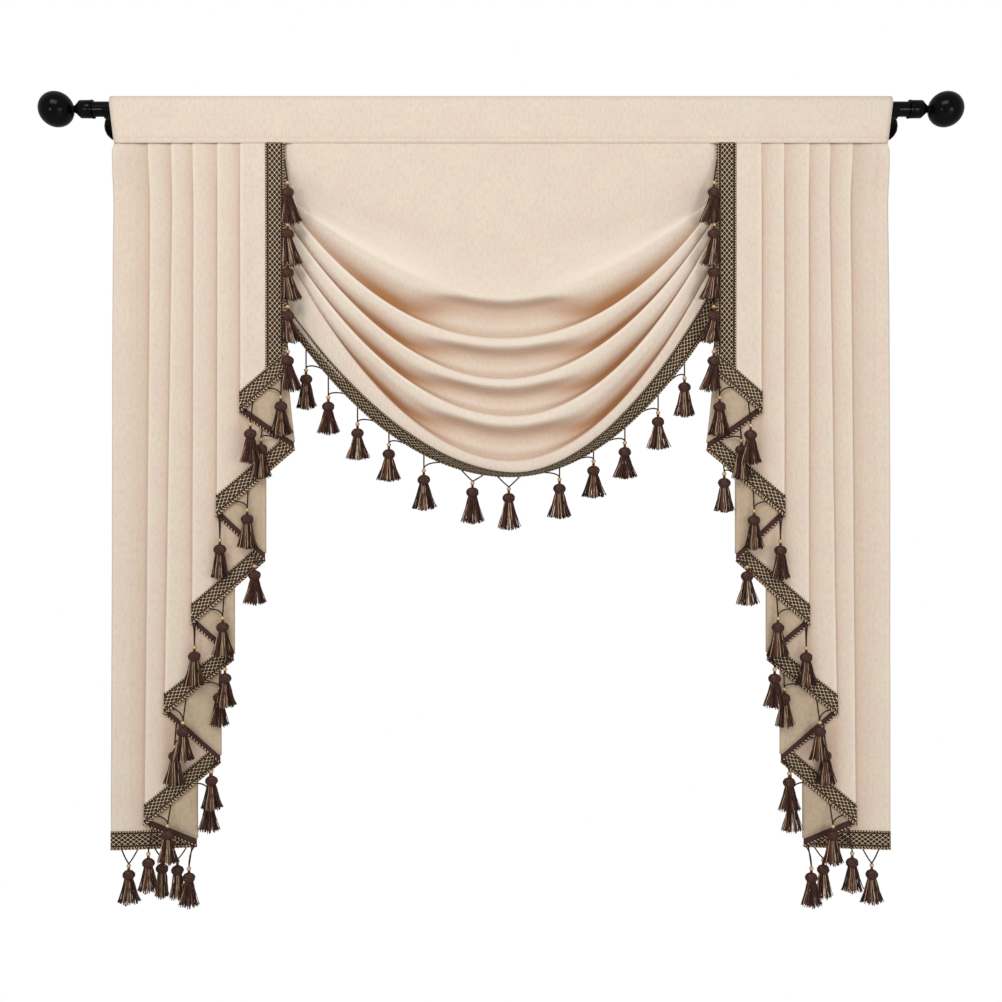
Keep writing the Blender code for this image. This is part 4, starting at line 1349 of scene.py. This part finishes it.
rightCascade = [
    # layer, x, bead z, forward, width
    (0, 420.0, -562.0, 8.0, 40.0),
    (0, 475.0, -617.0, 22.0, 36.0),
    (1, 462.0, -645.0, 8.0, 36.0),
    (2, 431.0, -708.0, 8.0, 36.0),
    (2, 487.0, -780.0, 9.0, 34.0),
    (2, 537.0, -838.0, 8.0, 32.0),
    (3, 475.0, -888.0, 8.0, 40.0),
    (4, 534.0, -987.0, 11.0, 40.0),
    (4, 588.0, -1044.0, 8.0, 38.0),
    (5, 527.0, -1085.0, 18.0, 40.0),
    (6, 550.0, -1126.0, 6.4, 34.0),
    (6, 612.0, -1186.0, 22.0, 38.0),
    (7, 628.0, -1236.0, 8.0, 38.0),
    (7, 556.0, -1286.0, 22.0, 38.0),
    (8, 566.0, -1331.0, 8.0, 38.0),
    (8, 640.0, -1388.0, 22.0, 38.0),
]
rightHem = [
    # layer, x, bead z, forward, width
    (9, 678.0, -1441.0, 20.0, 38.0),
    (9, 601.0, -1472.0, 20.0, 36.0),
    (10, 629.0, -1462.0, 8.0, 32.0),
    (10, 721.0, -1469.0, 8.0, 42.0),
]
edgeTassels = [
    # bead z, length
    (-151.0, 80.0),
    (-231.0, 80.0),
    (-305.0, 72.0),
    (-388.0, 71.0),
    (-474.0, 78.0),
]
edgeHang = {
    "inward": 9.0,  # from the tail's edge to the bead
    "forward": 12.5,
    "cordAbove": 46.0,
    "hookAbove": 12.0,
    "width": 36.0,
    "lean": 9.0,
}


def buildStepFringe(name, tail, tassels, first, last):
    bundle = Bundle()
    marks = tail.marks(first, last, 3.0, 8)
    addTwistedCord(bundle, [tail.edge(s, 1.7, tailShape["braidOffset"]) for s in marks])

    def anchor(s):
        return tail.edge(s, 3.2, tailShape["braidOffset"])

    for kind, (layer, x, beadZ, forward, width) in enumerate(tassels):
        s = tail.station(layer, x, beadZ + 40.0)  # a first guess, near the hem
        s = tail.station(layer, x, tail.hem(s))
        place = (tail.side * x, tail.edge(s, 0.0, 0.0)[1] - forward, beadZ)
        top = cordEnd(place)
        if layer == tail.layers - 1:
            for shift in (-15.0, 15.0):
                side = tail.station(layer, min(x + shift, 750.0), tail.hem(s))
                addStraightCord(bundle, anchor(side), top, 1.5)
        else:
            addStraightCord(bundle, anchor(s), top, 0.0)
            start, end = tail.ends(layer, tail.hem(s))
            step = hangingCord["hookReach"] / math.hypot(1.0, 0.8)  # along the slanting edge
            ahead = clamp((x - start) / (end - start) + step / abs(end - start))
            addHook(bundle, anchor(2 * layer + min(ahead, 0.999)), top)
        hangTassel(bundle, place, width, tasselShape["length"], 0.0, kind)
    return bundle.finish(name, fringeMaterials)


def buildEdgeFringe(name, tail):
    bundle = Bundle()
    lead = tail.turns[0][0]

    def edgePoint(z):
        x, y, z = tail.place(0.0, z, tailShape["braidOffset"])
        return (x - tail.side * 1.5, y, z)

    down = spread(tailShape["top"] - 2.0, tail.hem(0.0) + 1.0, 220)
    addTwistedCord(bundle, [edgePoint(z) for z in down], 0.75)
    for kind, (beadZ, length) in enumerate(edgeTassels):
        depth = tail.place(0.0, beadZ, 0.0)[1] - edgeHang["forward"]
        place = (tail.side * (lead - edgeHang["inward"]), depth, beadZ)
        top = cordEnd(place)
        addStraightCord(bundle, edgePoint(beadZ + edgeHang["cordAbove"]), top, 0.0)
        addHook(bundle, edgePoint(beadZ + edgeHang["hookAbove"]), top)
        hangTassel(bundle, place, edgeHang["width"], length, -tail.side * edgeHang["lean"], kind + 1)
    return bundle.finish(name, fringeMaterials)


swagFringe = buildSwagFringe()
fringes = {}
for word, cascade, hem in (("left", leftCascade, leftHem), ("right", rightCascade, rightHem)):
    tail = tails[word]
    fringes["edge_fringe_" + word] = buildEdgeFringe("edge_tassels_" + word, tail)
    fringes["cascade_fringe_" + word] = buildStepFringe("cascade_tassels_" + word, tail, cascade, 0.0, 17.9)
    fringes["hem_fringe_" + word] = buildStepFringe("hem_tassels_" + word, tail, hem, 18.03, 21.0)
print("fringes ready")


# Rod and finials are turned from a disc by extruding and sizing.
rodShape = {
    "end": 790.3,
    "standoff": 95.0,
    "sides": 64,
    "rod": [(-790.3, 13.4), (-789.5, 14.25), (789.5, 14.25), (790.3, 13.4)],
    "ball": 33.6,
    "ballCentre": 73.0,
    "cap": [
        # beyond the rod's end, radius
        (0.3, 15.0),
        (0.8, 17.7),
        (3.4, 17.7),
        (3.9, 16.0),
        (4.5, 16.8),
        (5.2, 17.0),
        (24.6, 17.0),
        (26.0, 16.3),
        (35.0, 7.7),
        (36.2, 7.0),
        (39.8, 7.0),
    ],
}


def turnPiece(name, rings):
    # Starts as a disc at the first ring; each further ring is an extrusion drawn to its radius.
    along, radius = rings[0]
    bpy.ops.object.select_all(action="DESELECT")
    bpy.ops.mesh.primitive_circle_add(
        vertices=rodShape["sides"], radius=radius * mm, fill_type="NGON",
        location=(along * mm, -rodShape["standoff"] * mm, 0.0), rotation=(0.0, math.pi / 2.0, 0.0),
    )
    made = bpy.context.object
    made.name = name
    bpy.ops.object.transform_apply(location=True, rotation=True, scale=True)
    bpy.ops.object.mode_set(mode="EDIT")
    bpy.ops.mesh.select_all(action="SELECT")
    for nextAlong, nextRadius in rings[1:]:
        shift = ((nextAlong - along) * mm, 0.0, 0.0)
        bpy.ops.mesh.extrude_region_move(TRANSFORM_OT_translate={"value": shift})
        size = nextRadius / radius
        centre = (nextAlong * mm, -rodShape["standoff"] * mm, 0.0)
        bpy.ops.transform.resize(value=(1.0, size, size), center_override=centre)
        along, radius = nextAlong, nextRadius
    bpy.ops.mesh.select_all(action="SELECT")
    bpy.ops.mesh.normals_make_consistent(inside=False)
    bpy.ops.object.mode_set(mode="OBJECT")
    bpy.ops.object.shade_smooth_by_angle(angle=math.radians(40.0))
    made.data.materials.append(metal)
    return made


def finialRings(side):
    ball, centre = rodShape["ball"], rodShape["ballCentre"]
    rings = list(rodShape["cap"])
    start = math.asin(8.0 / ball)
    for i in range(22):
        angle = mix(start, math.pi - 0.04, i / 21.0)
        rings.append((centre - ball * math.cos(angle), ball * math.sin(angle)))
    return [(side * (rodShape["end"] + along), radius) for along, radius in rings]


rod = turnPiece("rod_smooth", rodShape["rod"])
finials = {}
for word, side in (("left", -1.0), ("right", 1.0)):
    finials[word] = turnPiece("finial_turned_" + word, finialRings(side))
    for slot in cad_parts["bracket_" + word].material_slots:
        slot.material = metal
print("rod and finials ready")


swagFringeNodes = ["swag_fringe_" + word for word in ("far_left", "left", "right", "far_right")]
# Each piece with its material slot and the CAD nodes that it stands for.
table = [
    (headingCloth, "cream_cloth", ["heading"]),
    (headingStitches, "cream_cloth", []),
    (swagCloth, "cream_cloth", ["swag"]),
    (swagBraid, "woven_braid", ["swag_braid"]),
    (swagFringe, "tassel_yarn", swagFringeNodes),
    (rod, "satin_black", ["rod"]),
]
table += [(piece, "satin_black", ["finial_" + word]) for word, piece in finials.items()]
table += [(piece, "cream_cloth", ["tail_" + word]) for word, piece in tailCloths.items()]
table += [(piece, "woven_braid", ["tail_braid_" + word]) for word, piece in tailBraids.items()]
for node, piece in fringes.items():
    nodes = [node + end for end in ("_top", "_middle", "_low")] if node.startswith("cascade") else [node]
    table.append((piece, "tassel_yarn", nodes))
for piece, slot, nodes in table:
    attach(piece, "root")
    if nodes:
        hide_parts(*nodes)


def tailArea(tail):
    # Flat area in square metres, down to the stepped edge.
    marks = tail.marks(0.0, float(tail.parts), 4.0, 4)
    area = 0.0
    for a, b in zip(marks, marks[1:]):
        drop = tailShape["top"] - tail.hem((a + b) / 2.0) - tailShape["braidBeyond"]
        area += (tail.flat(b) - tail.flat(a)) * drop * mm * mm
    return area


for word, tail in tails.items():
    width, area = round(tail.starts[-1] * mm, 3), round(tailArea(tail), 3)
    print("tail", word, "flat", width, "x 1.352 m, area", area)


studio = {
    "floorHeight": -2.3,
    "cameraPlace": (0.0, -2.195, -0.7605),
    "lens": 38.87,
    "fromSky": 0.44,
    "lights": [
        # name, place, where it points, size, power, colour
        ("keyLight", (-0.6, -2.9, 1.5), (0.0, -0.1, -0.7), (2.2, 1.3), 54.0, (1.0, 0.96, 0.90)),
        ("fillLight", (1.5, -2.7, -1.3), (0.0, -0.1, -1.1), (1.6, 1.6), 10.0, (1.0, 0.97, 0.94)),
        ("rodLight_left", (-1.62, -2.4, -0.8), (-0.78, -0.1, 0.0), (0.36, 0.3), 7.0, (1.0, 1.0, 1.0)),
        ("rodLight_right", (1.62, -2.4, -0.8), (0.78, -0.1, 0.0), (0.36, 0.3), 7.0, (1.0, 1.0, 1.0)),
    ],
}


def buildFloor():
    bpy.ops.object.select_all(action="DESELECT")
    bpy.ops.mesh.primitive_plane_add(size=1.0, location=(0.0, -1.0, studio["floorHeight"]))
    floor = bpy.context.object
    floor.name = "floor"
    floor.scale = (5.0, 3.6, 1.0)
    bpy.ops.object.transform_apply(location=True, rotation=True, scale=True)
    made, tree, shader = newMaterial("paleFloor")
    tone = noiseAt(tree, objectPlace(tree), 3.0, 3.0)
    colour = blendColour(tree, tone, (0.80, 0.79, 0.77, 1.0), (0.86, 0.85, 0.83, 1.0))
    tree.links.new(colour, shader.inputs["Base Color"])
    shader.inputs["Roughness"].default_value = 0.7
    floor.data.materials.append(made)


def addAreaLight(name, place, target, size, power, colour):
    data = bpy.data.lights.new(name, "AREA")
    data.shape = "RECTANGLE"
    data.size, data.size_y = size
    data.energy = power
    data.color = colour
    light = bpy.data.objects.new(name, data)
    light.location = place
    light.rotation_euler = (Vector(target) - Vector(place)).to_track_quat("-Z", "Y").to_euler()
    scene.collection.objects.link(light)


def buildWorld():
    world = bpy.data.worlds.new("paleRoom")
    scene.world = world
    world.use_nodes = True
    tree = world.node_tree
    tree.nodes.clear()
    seen = tree.nodes.new("ShaderNodeBackground")
    seen.inputs[0].default_value = (1.0, 1.0, 1.0, 1.0)
    seen.inputs[1].default_value = 1.0
    lit = tree.nodes.new("ShaderNodeBackground")
    lit.inputs[0].default_value = (1.0, 0.975, 0.95, 1.0)
    lit.inputs[1].default_value = studio["fromSky"]
    path = tree.nodes.new("ShaderNodeLightPath")
    choose = tree.nodes.new("ShaderNodeMixShader")
    end = tree.nodes.new("ShaderNodeOutputWorld")
    tree.links.new(path.outputs["Is Camera Ray"], choose.inputs[0])
    tree.links.new(lit.outputs[0], choose.inputs[1])
    tree.links.new(seen.outputs[0], choose.inputs[2])
    tree.links.new(choose.outputs[0], end.inputs[0])


def buildCamera():
    data = bpy.data.cameras.new("camera")
    data.sensor_width = 36.0
    data.lens = studio["lens"]
    camera = bpy.data.objects.new("camera", data)
    camera.location = studio["cameraPlace"]
    camera.rotation_euler = (math.pi / 2.0, 0.0, 0.0)
    scene.collection.objects.link(camera)
    bpy.context.scene.camera = camera


buildFloor()
buildWorld()
for light in studio["lights"]:
    addAreaLight(*light)
buildCamera()
scene.view_settings.view_transform = "Standard"
print("studio ready")

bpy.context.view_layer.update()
for piece, slot, nodes in table:
    print(piece.name, "triangles", sum(len(p.vertices) - 2 for p in piece.data.polygons))
